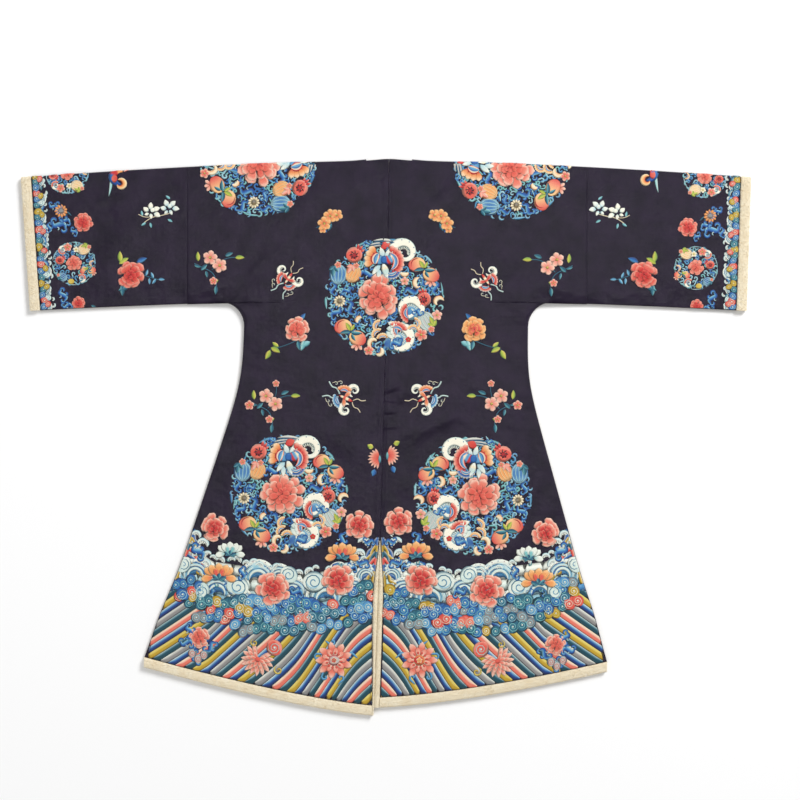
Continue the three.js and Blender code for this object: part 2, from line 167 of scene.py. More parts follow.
@dataclass(frozen=True)
class CoatCut:
    """The coat's cut and how it lies. A point of the cut is (out from the middle, up the cloth)."""

    shoulder_top: float = 662
    hem_level: float = -590
    vent_top: float = -252
    underarm: float = 328
    sleeve_seam: float = 480
    chest_half: float = 341
    skirt_flare: float = 0.3056
    flare_start: float = 136
    flare_softness: float = 34
    tuck_depth: float = 7
    tuck_height: float = 170
    armpit_across: float = 55
    armpit_down: float = 61
    neck_half: float = 55
    neck_drop_front: float = 85
    neck_drop_back: float = 4
    shoulder_fall: float = 40
    shoulder_reach: float = 870
    shoulder_curve: float = 1.62
    underarm_share: float = 0.7
    neck_rise: float = 8
    neck_rise_spread: float = 60
    middle_at_top: float = 5
    middle_lean: float = 0.015
    middle_bend: float = 9.8e-6
    origin_x: float = -2.4
    origin_y: float = -3.02
    seam_gap: float = 0.3
    fold_radius: float = 4.7
    vent_fur_tip: float = 1.6
    vent_fur_open: float = 120
    left: HalfCut = HalfCut(-647, -531, 1.3, 833, 0.066, 12, 4)
    right: HalfCut = HalfCut(-628, -542, 1.5, 839, 0.033, 12, 13)

    def half(self, half: Half) -> HalfCut:
        """What differs on that half."""
        return self.left if half is Half.LEFT else self.right

    def side_edge(self, up: np.ndarray | float) -> np.ndarray:
        """How far out a body half's edge is at a height on the cloth.

        Args:
            up: The height, or heights, along the cloth.

        Returns:
            The edge's distance from the middle.
        """
        up = np.asarray(up, float)
        down = (self.flare_start - up) / self.flare_softness
        tuck = self.tuck_depth * smooth(self.hem_level + self.tuck_height, self.hem_level, up)
        skirt = self.chest_half + self.skirt_flare * self.flare_softness * np.log1p(np.exp(down)) - tuck
        rise = np.clip((up - self.underarm + self.armpit_down) / self.armpit_down, 0, 1)
        armpit = self.chest_half + self.armpit_across * (1 - np.sqrt(1 - rise * rise))
        edge = np.where(up > self.underarm - self.armpit_down, armpit, skirt)
        return np.where(up >= self.underarm - 1, self.sleeve_seam - self.seam_gap / 2, edge)

    def cuff_edge(self, half: Half, up: np.ndarray | float) -> np.ndarray:
        """How far out the satin's cuff edge is."""
        cut = self.half(half)
        return cut.cuff_low + cut.cuff_slant * (np.asarray(up, float) - self.underarm)

    def vent_fur(self, half: Half, up: np.ndarray | float) -> np.ndarray:
        """The width of the fur along the slit at a height.

        Args:
            half: The half.
            up: The height, or heights, along the cloth.

        Returns:
            The fur's width.
        """
        cut = self.half(half)
        opened = smooth(0, self.vent_fur_open, self.vent_top - np.asarray(up, float))
        wide = self.vent_fur_tip + (cut.vent_fur_wide - self.vent_fur_tip) * opened
        lower = smooth(self.vent_top - self.vent_fur_open, self.hem_level, up)
        return wide + (cut.vent_fur_low - wide) * lower

    def back_edge(self, half: Half, up: float) -> float:
        """How far out a body half's inner edge is on the back.

        Args:
            half: The half.
            up: The height, along the cloth.

        Returns:
            The edge's distance from the middle.
        """
        if up > self.shoulder_top - self.neck_drop_back:
            return self.neck_half
        if up > self.vent_top:
            return self.seam_gap / 2
        return self.seam_gap * 1.5 + float(self.vent_fur(half, up))

    def front_edge(self, up: float) -> float:
        """How far out a body half's inner edge is on the front.

        Args:
            up: The height, along the cloth.

        Returns:
            The edge's distance from the middle.
        """
        drop = (self.shoulder_top - up) / self.neck_drop_front
        if drop >= 1:
            return self.seam_gap / 2
        return max(self.seam_gap / 2, self.neck_half * math.sqrt(1 - drop * drop))

    def middle(self, y: np.ndarray | float) -> np.ndarray:
        """Where the coat's middle line is, across, at a height in the row frame."""
        below = self.shoulder_top - (np.asarray(y, float) + self.origin_y)
        return self.middle_at_top - self.middle_lean * below - self.middle_bend * below**2 - self.origin_x

    def lay(self, half: Half, out: np.ndarray | float, up: np.ndarray | float) -> tuple[np.ndarray, np.ndarray]:
        """Lays a point of the cut on the table.

        Args:
            half: The half that the point is on.
            out: Its distance from the middle, along the cloth.
            up: Its height, along the cloth.

        Returns:
            Its x and y in the row frame.
        """
        cut = self.half(half)
        out, up = np.broadcast_arrays(np.asarray(out, float), np.asarray(up, float))
        rise = self.neck_rise * np.exp(-((out / self.neck_rise_spread) ** 2))
        fall = self.shoulder_fall * (out / self.shoulder_reach) ** self.shoulder_curve - rise
        sleeve_part = np.clip((up - self.underarm) / (self.shoulder_top - self.underarm), 0, 1)
        share = self.underarm_share * smooth(self.underarm - 220, self.underarm, up)
        share = share + (1 - self.underarm_share) * sleeve_part
        across = (out / self.side_edge(self.hem_level)) ** cut.hem_curve
        shift = cut.hem_at_vent + (cut.hem_at_side - cut.hem_at_vent) * across - self.hem_level
        y = up - fall * share + shift * smooth(self.vent_top, self.hem_level, up) - self.origin_y
        past_chest = smooth(self.chest_half - 40, self.sleeve_seam, out)
        held = past_chest * smooth(self.underarm - 200, self.underarm, up)
        middle = self.middle(y) + self.origin_x
        return half.value * out + middle * (1 - held) - self.origin_x, y

    def body_area(self, half: Half) -> float:
        """The flat area of one body half's cut, front and back, in square millimetres.

        Args:
            half: The half.

        Returns:
            The area.
        """
        heights = np.linspace(self.hem_level, self.shoulder_top, 400)
        widths = self.side_edge(heights)
        inner = [self.back_edge(half, up) + self.front_edge(up) for up in heights]
        return float(np.trapz(2 * widths - np.array(inner), heights))


@dataclass(frozen=True)
class Crease:
    """A soft ridge, or a trough where its height is below 0, at the middle of its length."""

    x: float
    y: float
    angle: float
    length: float
    width: float
    height: float


MAIN_CREASES = (
    Crease(92, 30, 25, 230, 30, 3.4),
    Crease(60, 118, 28, 130, 26, 2.6),
    Crease(-112, -4, -27, 230, 34, 2.8),
    Crease(-330, 330, 52, 190, 30, 3.6),
    Crease(-424, 366, 10, 190, 28, 3.2),
    Crease(318, 330, -54, 190, 30, 3.4),
    Crease(432, 350, -12, 210, 28, 3.4),
    Crease(-640, 452, 62, 270, 38, 3.2),
    Crease(650, 446, -60, 270, 38, 3.2),
    Crease(-210, 560, 8, 270, 36, 2.4),
    Crease(236, 552, -10, 250, 36, 2.4),
    Crease(-312, -150, 77, 360, 42, 3.4),
    Crease(296, -170, -79, 340, 42, 3.4),
    Crease(-190, -420, 86, 340, 44, 3.2),
    Crease(176, -430, -84, 330, 44, 3.2),
    Crease(-398, -430, 72, 290, 42, 2.8),
    Crease(388, -420, -72, 280, 42, 2.8),
)
FINE_CREASES = (
    Crease(16, 118, 28, 56, 3.4, 1.9),
    Crease(20, 108, 16, 44, 3.2, -1.5),
    Crease(8, 88, -8, 34, 3.4, 1.8),
    Crease(10, 60, 4, 36, 3.4, 1.9),
    Crease(8, 54, 2, 30, 3.2, -1.4),
    Crease(10, 24, 10, 34, 3.4, 1.6),
    Crease(30, 74, 34, 34, 4.5, -1.2),
    Crease(114, 24, 24, 170, 10, 1.7),
    Crease(64, 2, 34, 60, 8, -1.3),
    Crease(-300, 420, 46, 90, 9, 1.7),
    Crease(-266, 438, 40, 50, 7, 1.4),
    Crease(-452, 344, 12, 64, 8, 1.7),
    Crease(-420, 352, -16, 50, 7, 1.5),
    Crease(-362, 332, 38, 52, 7, 1.9),
    Crease(-352, 318, 20, 44, 7, -1.3),
    Crease(-338, 276, 64, 60, 8, 1.7),
    Crease(-548, 372, 28, 70, 9, 1.2),
    Crease(-640, 540, -34, 60, 9, 1.1),
    Crease(-690, 560, 30, 60, 8, 1.0),
    Crease(428, 352, -14, 70, 8, 1.8),
    Crease(476, 344, 10, 60, 8, 1.6),
    Crease(520, 352, -24, 60, 8, 1.6),
    Crease(566, 338, 8, 70, 8, 1.5),
    Crease(608, 346, -18, 60, 8, 1.3),
    Crease(366, 330, -40, 56, 7, 1.8),
    Crease(340, 282, -62, 60, 8, 1.6),
    Crease(292, 430, -44, 80, 9, 1.3),
    Crease(690, 500, -40, 80, 10, 1.0),
)


def crease_height(x: np.ndarray, y: np.ndarray, creases: Sequence[Crease]) -> np.ndarray:
    """How far creases lift the cloth at places in the row frame.

    Args:
        x: The places' x.
        y: Their y.
        creases: The creases to add up.

    Returns:
        The lift at each place.
    """
    height = np.zeros(np.broadcast(x, y).shape)
    for crease in creases:
        turn = math.radians(crease.angle)
        dx, dy = x - crease.x, y - crease.y
        along = dx * math.cos(turn) + dy * math.sin(turn)
        aside = dy * math.cos(turn) - dx * math.sin(turn)
        taper = 1 - smooth(0.25, 0.5, np.abs(along) / crease.length)
        height = height + crease.height * taper * np.exp(-((aside / crease.width) ** 2))
    return height


def new_mesh_object(name: str, points: np.ndarray, faces: Sequence[Sequence[int]]) -> bpy.types.Object:
    """Makes a smooth-shaded mesh object from points in millimetres.

    Args:
        name: The object's name.
        points: An array of x, y, z rows.
        faces: The faces' vertex numbers.

    Returns:
        The new object, linked to the scene.
    """
    mesh = bpy.data.meshes.new(name)
    mesh.from_pydata((np.asarray(points) * MM).tolist(), [], [list(face) for face in faces])
    mesh.update()
    mesh.polygons.foreach_set("use_smooth", np.ones(len(mesh.polygons), bool))
    made = bpy.data.objects.new(name, mesh)
    bpy.context.scene.collection.objects.link(made)
    return made


def faces_out(points: np.ndarray, faces: list[tuple[int, ...]]) -> list[tuple[int, ...]]:
    """Turns a closed surface's faces round if they point inwards.

    Args:
        points: The surface's points.
        faces: Its faces, all turned one way.

    Returns:
        The faces, pointing out.
    """
    volume = 0.0
    for face in faces:
        first = points[face[0]]
        for second, third in zip(face[1:-1], face[2:]):
            volume += float(np.dot(first, np.cross(points[second], points[third])))
    return faces if volume > 0 else [tuple(reversed(face)) for face in faces]


def spaced(start: float, end: float, step: float) -> list[float]:
    """Even stops from start to end, about a step apart."""
    return np.linspace(start, end, max(2, round(abs(end - start) / step) + 1)).tolist()


# Shader node groups that several finishes share.


@dataclass(frozen=True)
class NodeGroups:
    """Builds the shared effects: a cloth's mottling and a weave's relief."""

    mottle_name: str = "soft_mottle"
    weave_name: str = "fine_weave"

    @staticmethod
    def _socket(tree: bpy.types.NodeTree, name: str, way: str, kind: str, value: object = None) -> None:
        """Adds one named socket to a group's interface.

        Args:
            tree: The group.
            name: The socket's name.
            way: INPUT or OUTPUT.
            kind: Its type.
            value: Its value at first, or none.
        """
        socket = tree.interface.new_socket(name=name, in_out=way, socket_type=kind)
        if value is not None:
            socket.default_value = value

    def mottle(self) -> bpy.types.NodeTree:
        """The group that mixes two colours in soft clouds.

        Returns:
            The node group.
        """
        if self.mottle_name in bpy.data.node_groups:
            return bpy.data.node_groups[self.mottle_name]
        tree = bpy.data.node_groups.new(self.mottle_name, "ShaderNodeTree")
        self._socket(tree, "Base", "INPUT", "NodeSocketColor", (0.5, 0.5, 0.5, 1))
        self._socket(tree, "Other", "INPUT", "NodeSocketColor", (0.4, 0.4, 0.4, 1))
        self._socket(tree, "Scale", "INPUT", "NodeSocketFloat", 6.0)
        self._socket(tree, "Contrast", "INPUT", "NodeSocketFloat", 1.0)
        self._socket(tree, "Color", "OUTPUT", "NodeSocketColor")
        self._socket(tree, "Mask", "OUTPUT", "NodeSocketFloat")
        nodes, links = tree.nodes, tree.links
        inward, outward = nodes.new("NodeGroupInput"), nodes.new("NodeGroupOutput")
        place = nodes.new("ShaderNodeTexCoord")
        noise = nodes.new("ShaderNodeTexNoise")
        noise.inputs["Detail"].default_value = 4.0
        spread = nodes.new("ShaderNodeMapRange")
        spread.inputs["From Min"].default_value = 0.32
        spread.inputs["From Max"].default_value = 0.68
        strength = nodes.new("ShaderNodeMath")
        strength.operation = "MULTIPLY"
        mixer = nodes.new("ShaderNodeMix")
        mixer.data_type = "RGBA"
        links.new(place.outputs["Object"], noise.inputs["Vector"])
        links.new(inward.outputs["Scale"], noise.inputs["Scale"])
        links.new(noise.outputs["Fac"], spread.inputs["Value"])
        links.new(spread.outputs["Result"], strength.inputs[0])
        links.new(inward.outputs["Contrast"], strength.inputs[1])
        links.new(strength.outputs[0], mixer.inputs["Factor"])
        links.new(inward.outputs["Base"], mixer.inputs["A"])
        links.new(inward.outputs["Other"], mixer.inputs["B"])
        links.new(mixer.outputs["Result"], outward.inputs["Color"])
        links.new(strength.outputs[0], outward.inputs["Mask"])
        return tree

    def weave(self) -> bpy.types.NodeTree:
        """The group that gives the height of crossed threads over a cloth's slow unevenness.

        Returns:
            The node group.
        """
        if self.weave_name in bpy.data.node_groups:
            return bpy.data.node_groups[self.weave_name]
        tree = bpy.data.node_groups.new(self.weave_name, "ShaderNodeTree")
        self._socket(tree, "Threads", "INPUT", "NodeSocketFloat", 300.0)
        self._socket(tree, "Slub", "INPUT", "NodeSocketFloat", 18.0)
        self._socket(tree, "Slub Depth", "INPUT", "NodeSocketFloat", 6.0)
        self._socket(tree, "Height", "OUTPUT", "NodeSocketFloat")
        nodes, links = tree.nodes, tree.links
        inward, outward = nodes.new("NodeGroupInput"), nodes.new("NodeGroupOutput")
        place = nodes.new("ShaderNodeTexCoord")
        heights = []
        for direction in ("X", "Y"):
            wave = nodes.new("ShaderNodeTexWave")
            wave.bands_direction = direction
            wave.inputs["Distortion"].default_value = 0.6
            links.new(place.outputs["Object"], wave.inputs["Vector"])
            links.new(inward.outputs["Threads"], wave.inputs["Scale"])
            heights.append(wave.outputs["Fac"])
        both = nodes.new("ShaderNodeMath")
        links.new(heights[0], both.inputs[0])
        links.new(heights[1], both.inputs[1])
        noise = nodes.new("ShaderNodeTexNoise")
        noise.inputs["Detail"].default_value = 2.5
        links.new(place.outputs["Object"], noise.inputs["Vector"])
        links.new(inward.outputs["Slub"], noise.inputs["Scale"])
        slow = nodes.new("ShaderNodeMath")
        slow.operation = "MULTIPLY"
        links.new(noise.outputs["Fac"], slow.inputs[0])
        links.new(inward.outputs["Slub Depth"], slow.inputs[1])
        total = nodes.new("ShaderNodeMath")
        links.new(both.outputs[0], total.inputs[0])
        links.new(slow.outputs[0], total.inputs[1])
        links.new(total.outputs[0], outward.inputs["Height"])
        return tree


@dataclass(frozen=True)
class ClothFinish:
    """A woven or furry finish: two mottled colours over a fine relief."""

    name: str
    base: tuple[float, float, float]
    other: tuple[float, float, float]
    mottle_scale: float
    contrast: float
    roughness: float
    specular: float
    sheen: float
    sheen_roughness: float
    sheen_tint: tuple[float, float, float]
    threads: float
    slub: float
    slub_depth: float
    relief: float

    def material(self) -> bpy.types.Material:
        """Builds the material, or returns it if it is there already.

        Returns:
            The material.
        """
        if self.name in bpy.data.materials:
            return bpy.data.materials[self.name]
        made = bpy.data.materials.new(self.name)
        made.use_nodes = True
        nodes, links = made.node_tree.nodes, made.node_tree.links
        shader = nodes["Principled BSDF"]
        shader.inputs["Roughness"].default_value = self.roughness
        shader.inputs["Specular IOR Level"].default_value = self.specular
        shader.inputs["Sheen Weight"].default_value = self.sheen
        shader.inputs["Sheen Roughness"].default_value = self.sheen_roughness
        shader.inputs["Sheen Tint"].default_value = (*self.sheen_tint, 1)
        groups = NodeGroups()
        mottle = nodes.new("ShaderNodeGroup")
        mottle.node_tree = groups.mottle()
        mottle.inputs["Base"].default_value = (*[linear(c) for c in self.base], 1)
        mottle.inputs["Other"].default_value = (*[linear(c) for c in self.other], 1)
        mottle.inputs["Scale"].default_value = self.mottle_scale
        mottle.inputs["Contrast"].default_value = self.contrast
        links.new(mottle.outputs["Color"], shader.inputs["Base Color"])
        weave = nodes.new("ShaderNodeGroup")
        weave.node_tree = groups.weave()
        weave.inputs["Threads"].default_value = self.threads
        weave.inputs["Slub"].default_value = self.slub
        weave.inputs["Slub Depth"].default_value = self.slub_depth
        bump = nodes.new("ShaderNodeBump")
        bump.inputs["Strength"].default_value = 1.0
        bump.inputs["Distance"].default_value = self.relief * MM
        links.new(weave.outputs["Height"], bump.inputs["Height"])
        links.new(bump.outputs["Normal"], shader.inputs["Normal"])
        return made


@dataclass(frozen=True)
class ThreadFinish:
    """Silk satin stitch: the colour painted on each shape, and threads that cross it, with painted shade in the
    grooves between them and painted highlight on their crowns.
    """

    name: str = "silk_thread"
    roughness: float = 0.46
    sheen: float = 0.12
    thread_scale: float = 0.42
    relief: float = 0.09

    def material(self) -> bpy.types.Material:
        """Builds the material, or returns it if it is there already.

        Returns:
            The material.
        """
        if self.name in bpy.data.materials:
            return bpy.data.materials[self.name]
        made = bpy.data.materials.new(self.name)
        made.use_nodes = True
        nodes, links = made.node_tree.nodes, made.node_tree.links
        shader = nodes["Principled BSDF"]
        shader.inputs["Roughness"].default_value = self.roughness
        shader.inputs["Specular IOR Level"].default_value = 0.35
        shader.inputs["Sheen Weight"].default_value = self.sheen
        dye = nodes.new("ShaderNodeAttribute")
        dye.attribute_name = Needlework.DYE
        stitch = nodes.new("ShaderNodeUVMap")
        stitch.uv_map = Needlework.STITCH
        wave = nodes.new("ShaderNodeTexWave")
        wave.inputs["Scale"].default_value = self.thread_scale
        wave.inputs["Distortion"].default_value = 1.2
        wave.inputs["Detail"].default_value = 1.0
        links.new(stitch.outputs["UV"], wave.inputs["Vector"])
        # The dye is darkened to 0.8 in the grooves between threads and lifted to 1.05 on their crowns, in step
        # with the bump below: painted shade and painted highlight.
        thread_groove_shading = nodes.new("ShaderNodeMapRange")
        thread_groove_shading.inputs["To Min"].default_value = 0.80
        thread_groove_shading.inputs["To Max"].default_value = 1.05
        links.new(wave.outputs["Fac"], thread_groove_shading.inputs["Value"])
        tone = nodes.new("ShaderNodeVectorMath")
        tone.operation = "SCALE"
        links.new(dye.outputs["Color"], tone.inputs[0])
        links.new(thread_groove_shading.outputs["Result"], tone.inputs["Scale"])
        links.new(tone.outputs["Vector"], shader.inputs["Base Color"])
        bump = nodes.new("ShaderNodeBump")
        bump.inputs["Distance"].default_value = self.relief * MM
        links.new(wave.outputs["Fac"], bump.inputs["Height"])
        links.new(bump.outputs["Normal"], shader.inputs["Normal"])
        return made


SATIN = ClothFinish(
    name="aubergine_satin",
    base=(0.120, 0.068, 0.168),
    other=(0.048, 0.008, 0.100),
    mottle_scale=24.0,
    contrast=0.9,
    roughness=0.34,
    specular=0.24,
    sheen=0.05,
    sheen_roughness=0.35,
    sheen_tint=(0.85, 0.78, 0.95),
    threads=230.0,
    slub=22.0,
    slub_depth=24.0,
    relief=0.2,
)
FUR = ClothFinish(
    name="cream_sheared_fur",
    base=(0.92, 0.88, 0.785),
    other=(0.89, 0.83, 0.71),
    mottle_scale=40.0,
    contrast=0.8,
    roughness=0.95,
    specular=0.12,
    sheen=0.35,
    sheen_roughness=0.6,
    sheen_tint=(1.0, 0.97, 0.9),
    threads=160.0,
    slub=90.0,
    slub_depth=2.0,
    relief=0.15,
)
CORD = ClothFinish(
    name="dark_silk_cord",
    base=(0.16, 0.13, 0.18),
    other=(0.12, 0.10, 0.14),
    mottle_scale=60.0,
    contrast=0.8,
    roughness=0.55,
    specular=0.35,
    sheen=0.2,
    sheen_roughness=0.4,
    sheen_tint=(0.9, 0.85, 1.0),
    threads=400.0,
    slub=90.0,
    slub_depth=2.0,
    relief=0.12,
)


@dataclass(frozen=True)
class FoldedPiece:
    """A piece of cloth folded over the shoulder line, closed all round, as a fine shell."""

    name: str
    half: Half
    inner_edge: Callable[[float, str], float]
    outer_edge: Callable[[float], float]
    columns: Callable[[float, float], np.ndarray]
    back_heights: tuple[float, ...]
    front_heights: tuple[float, ...]
    cut: CoatCut = CoatCut()
    wall: float = 4.5
    edge_wall: float = 3.2
    edge_round: float = 1.2
    edge_band: float = 8
    layer_gap: float = 0.4
    crown: float = 2.6
    crown_reach: float = 75
    seam_dip: float = 0.5
    seam_dip_reach: float = 1.8
    thinnest: float = 0.6
    placket_recess: float = 0
    placket_flat: float = 46
    placket_end: float = 66
    press_line: float = 0
    press_line_at: float = 10
    press_line_reach: float = 2.6
    fold_angles: tuple[float, ...] = (75, 60, 45, 30, 15, 0, -15, -30, -45, -60, -75)

    @property
    def fold_radius(self) -> float:
        """The outer radius of the shoulder fold."""
        return self.wall + self.layer_gap / 2

    @property
    def fold_centre(self) -> float:
        """The height on the cloth where the shoulder fold starts."""
        return self.cut.shoulder_top - self.fold_radius

    def _free_edge(self, outs: np.ndarray, up: float, layer: str) -> tuple[np.ndarray, np.ndarray]:
        """How far points of a section are from the coat's outline, and from any edge that isn't sewn.

        Args:
            outs: The points' distances from the middle.
            up: The section's height, along the cloth.
            layer: The layer: back or front.

        Returns:
            Both distances for each point.
        """
        start, end = outs[0], outs[-1]
        cut = self.cut
        if start > cut.chest_half:
            side = np.full_like(outs, up - cut.underarm)
            return side, np.minimum(side, end - outs)
        side = end - outs
        if up >= cut.underarm - 1:
            side = np.hypot(np.maximum(cut.chest_half + cut.armpit_across - outs, 0), up - cut.underarm + 1)
        slit = np.hypot(outs - start, max(0.0, up - cut.vent_top)) if layer == "back" else outs - start
        return side, np.minimum(np.minimum(side, slit), up - cut.hem_level)

    def _flat_row(self, up: float, layer: str) -> tuple[np.ndarray, np.ndarray]:
        """The outer and inner points of one section of the back or the front.

        Args:
            up: The section's height, along the cloth.
            layer: The layer: back or front.

        Returns:
            The outer points and the inner ones.
        """
        start, end = self.inner_edge(up, layer), self.outer_edge(up)
        outs = self.columns(start, end)
        side, near = self._free_edge(outs, up, layer)
        edge = smooth(0, self.edge_band, near)
        shave = (1 - edge) * (self.wall - self.edge_wall) / 2
        bend = np.clip(near / self.edge_round, 0, 1)
        rim = (self.edge_wall / 2) * (1 - np.sqrt(bend * (2 - bend)))
        x, y = self.cut.lay(self.half, outs, up)
        if layer == "front":
            recess = self.placket_recess * (1 - smooth(self.placket_flat, self.placket_end, outs))
            low = np.maximum(recess, shave) + rim * (recess == 0)
            high = np.maximum(self.wall - shave - rim, low + 0.4)
            return np.stack([x, y, low], 1), np.stack([x, y, high], 1)
        rest = self.wall + self.layer_gap
        fade = edge * smooth(0, self.crown_reach, self.cut.shoulder_top - up)
        lift = crease_height(x + self.cut.origin_x, y + self.cut.origin_y, MAIN_CREASES) * fade
        fine = crease_height(x, y, FINE_CREASES) * fade
        reach = np.clip(np.minimum(side, self.cut.shoulder_top - up), 0, None)
        loft = self.crown * smooth(0, self.crown_reach, reach)
        seam_here = start > self.cut.chest_half or up > self.cut.vent_top
        sewn = outs - start if seam_here else np.full_like(outs, np.inf)
        sewn = np.minimum(sewn, end - outs) if up >= self.cut.underarm and start < 1 else sewn
        dip = self.seam_dip * np.exp(-((sewn / self.seam_dip_reach) ** 2)) * fade
        pressed = self.press_line * np.exp(-(((outs - self.press_line_at) / self.press_line_reach) ** 2)) * fade
        top = rest + self.wall - shave + lift + loft + fine + pressed - dip - rim
        low = np.minimum(rest + shave + lift + rim, top - self.thinnest)
        return np.stack([x, y, top], 1), np.stack([x, y, low], 1)

    def _fold_row(self, angle: float) -> tuple[np.ndarray, np.ndarray]:
        """The outer and inner points of one section round the shoulder fold.

        Args:
            angle: The section's angle, in degrees above the table.

        Returns:
            The outer points and the inner ones.
        """
        turn = math.radians(angle)
        centre, gap = self.fold_centre, self.layer_gap / 2
        outs = self.columns(self.inner_edge(centre, "fold"), self.outer_edge(centre))
        rows = []
        for radius in (self.fold_radius, gap):
            x, y = self.cut.lay(self.half, outs, centre + radius * math.cos(turn))
            z = np.full_like(x, self.fold_radius + radius * math.sin(turn))
            rows.append(np.stack([x, y, z], 1))
        return rows[0], rows[1]

    def build(self) -> bpy.types.Object:
        """Builds the shell.

        Returns:
            The shell's object. Its outer faces are the first material's, and its inner ones the second's.
        """
        rows = [self._flat_row(up, "back") for up in self.back_heights]
        rows += [self._fold_row(angle) for angle in self.fold_angles]
        rows += [self._flat_row(up, "front") for up in self.front_heights]
        across = len(rows[0][0])
        points = np.concatenate([np.concatenate([outer, inner[::-1]]) for outer, inner in rows])
        size = 2 * across
        faces: list[tuple[int, ...]] = []
        for row in range(len(rows) - 1):
            low, high = row * size, (row + 1) * size
            for k in range(size):
                step = (k + 1) % size
                faces.append((low + k, low + step, high + step, high + k))
        last = (len(rows) - 1) * size
        for base, flip in ((0, True), (last, False)):
            for k in range(across - 1):
                cap = (base + k, base + k + 1, base + size - 2 - k, base + size - 1 - k)
                faces.append(tuple(reversed(cap)) if flip else cap)
        made = new_mesh_object(self.name, points, faces_out(points, faces))
        made.data.materials.append(SATIN.material())
        made.data.materials.append(FUR.material())
        inner = np.zeros(len(faces), dtype=np.int32)
        for row in range(len(rows) - 1):
            inner[row * size + across : row * size + size - 1] = 1
        made.data.polygons.foreach_set("material_index", inner)
        return made


@dataclass
class SatinShells:
    """The coat's four satin pieces."""

    cut: CoatCut = field(default_factory=CoatCut)
    step: float = 6.4
    front_step: float = 30
    puckers: tuple[float, float] = (6, 130)
    pucker_step: float = 2.6
    near_seam: tuple[float, ...] = (0, 0.5, 1.2, 3, 5.5, 8, 10, 12, 15, 20, 26, 33, 40, 46, 56)
    near_side: tuple[float, ...] = (8, 5, 2.5, 1.2, 0.5, 0)
    pieces: list[bpy.types.Object] = field(default_factory=list)

    def _body_columns(self, start: float, end: float) -> np.ndarray:
        """The columns of a body half between its edges.

        Args:
            start: The inner edge.
            end: The outer edge.

        Returns:
            The columns' distances from the middle.
        """
        seam = [start + offset for offset in self.near_seam]
        side = [end - offset for offset in self.near_side]
        return np.array([*seam, *np.linspace(seam[-1], side[0], 84)[1:-1], *side])

    def _sleeve_columns(self, start: float, end: float) -> np.ndarray:
        """The columns of a sleeve between its edges.

        Args:
            start: The seam.
            end: The cuff's edge.

        Returns:
            The columns' distances from the middle.
        """
        rim = [0, 0.5, 1.2, 3, 5.5, 8]
        middle = np.linspace(start + rim[-1], end - rim[-1], 64)[1:-1]
        return np.array([*(start + np.array(rim)), *middle, *(end - np.array(rim[::-1]))])

    def _body(self, half: Half) -> bpy.types.Object:
        """Builds one body half.

        Args:
            half: The half.

        Returns:
            Its shell.
        """
        cut = self.cut
        fold = cut.shoulder_top - cut.fold_radius
        rises = (0, 12, 22, 31, 38, 44, 49, 53, 56.5, 59, 60)
        armpit = [cut.underarm - cut.armpit_down + rise for rise in rises]
        hem = [cut.hem_level + offset for offset in (0, 0.5, 1.2, 3, 5.5, 8)]
        back = [*hem[:-1], *spaced(hem[-1], cut.vent_top, self.step)]
        back += spaced(cut.vent_top + 3, self.puckers[0] - self.step, self.step)
        back += spaced(*self.puckers, self.pucker_step)
        back += [*spaced(self.puckers[1] + self.step, armpit[0] - 8, self.step), *armpit]
        back += spaced(cut.underarm, fold, self.step)
        drops = (8, 16, 26, 38, 50, 60, 69, 76, 81, 84, 85)
        front = [fold, *[cut.shoulder_top - drop for drop in drops]]
        front += [*spaced(cut.shoulder_top - 110, cut.underarm, self.front_step), *armpit[::-1]]
        front += spaced(armpit[0] - 30, cut.hem_level, self.front_step)

        def inner(up: float, layer: str) -> float:
            """The inner edge on a layer.

            Args:
                up: The height, along the cloth.
                layer: The layer: back, front or fold.

            Returns:
                The edge's distance from the middle.
            """
            if layer == "fold":
                return cut.neck_half
            return cut.back_edge(half, up) if layer == "back" else cut.front_edge(up)

        shell = FoldedPiece(
            name=f"satin_body_{half.name.lower()}",
            half=half,
            inner_edge=inner,
            outer_edge=lambda up: float(cut.side_edge(up)),
            columns=self._body_columns,
            back_heights=tuple(back),
            front_heights=tuple(front),
            placket_recess=2.8,
            press_line=0.7,
        )
        made = shell.build()
        width, length = float(cut.side_edge(cut.hem_level)), 2 * (cut.shoulder_top - cut.hem_level)
        area = cut.body_area(half)
        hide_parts(f"body_{half.name.lower()}")
        return made

    def _sleeve(self, half: Half) -> bpy.types.Object:
        """Builds one sleeve.

        Args:
            half: The half.

        Returns:
            Its shell.
        """
        cut = self.cut
        fold = cut.shoulder_top - cut.fold_radius
        rim = [cut.underarm + offset for offset in (0, 0.5, 1.2, 3, 5.5)]
        start = cut.sleeve_seam + cut.seam_gap / 2
        shell = FoldedPiece(
            name=f"satin_sleeve_{half.name.lower()}",
            half=half,
            inner_edge=lambda up, layer: start,
            outer_edge=lambda up: float(cut.cuff_edge(half, up)),
            columns=self._sleeve_columns,
            back_heights=tuple([*rim, *spaced(cut.underarm + 8, fold, self.step)]),
            front_heights=tuple(spaced(fold, cut.underarm, self.front_step)),
        )
        made = shell.build()
        width = float(cut.cuff_edge(half, 495)) - start
        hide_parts(f"sleeve_{half.name.lower()}")
        return made

    def build(self) -> list[bpy.types.Object]:
        """Builds all four pieces.

        Returns:
            Their objects.
        """
        self.pieces = [make(half) for half in Half for make in (self._body, self._sleeve)]
        return self.pieces


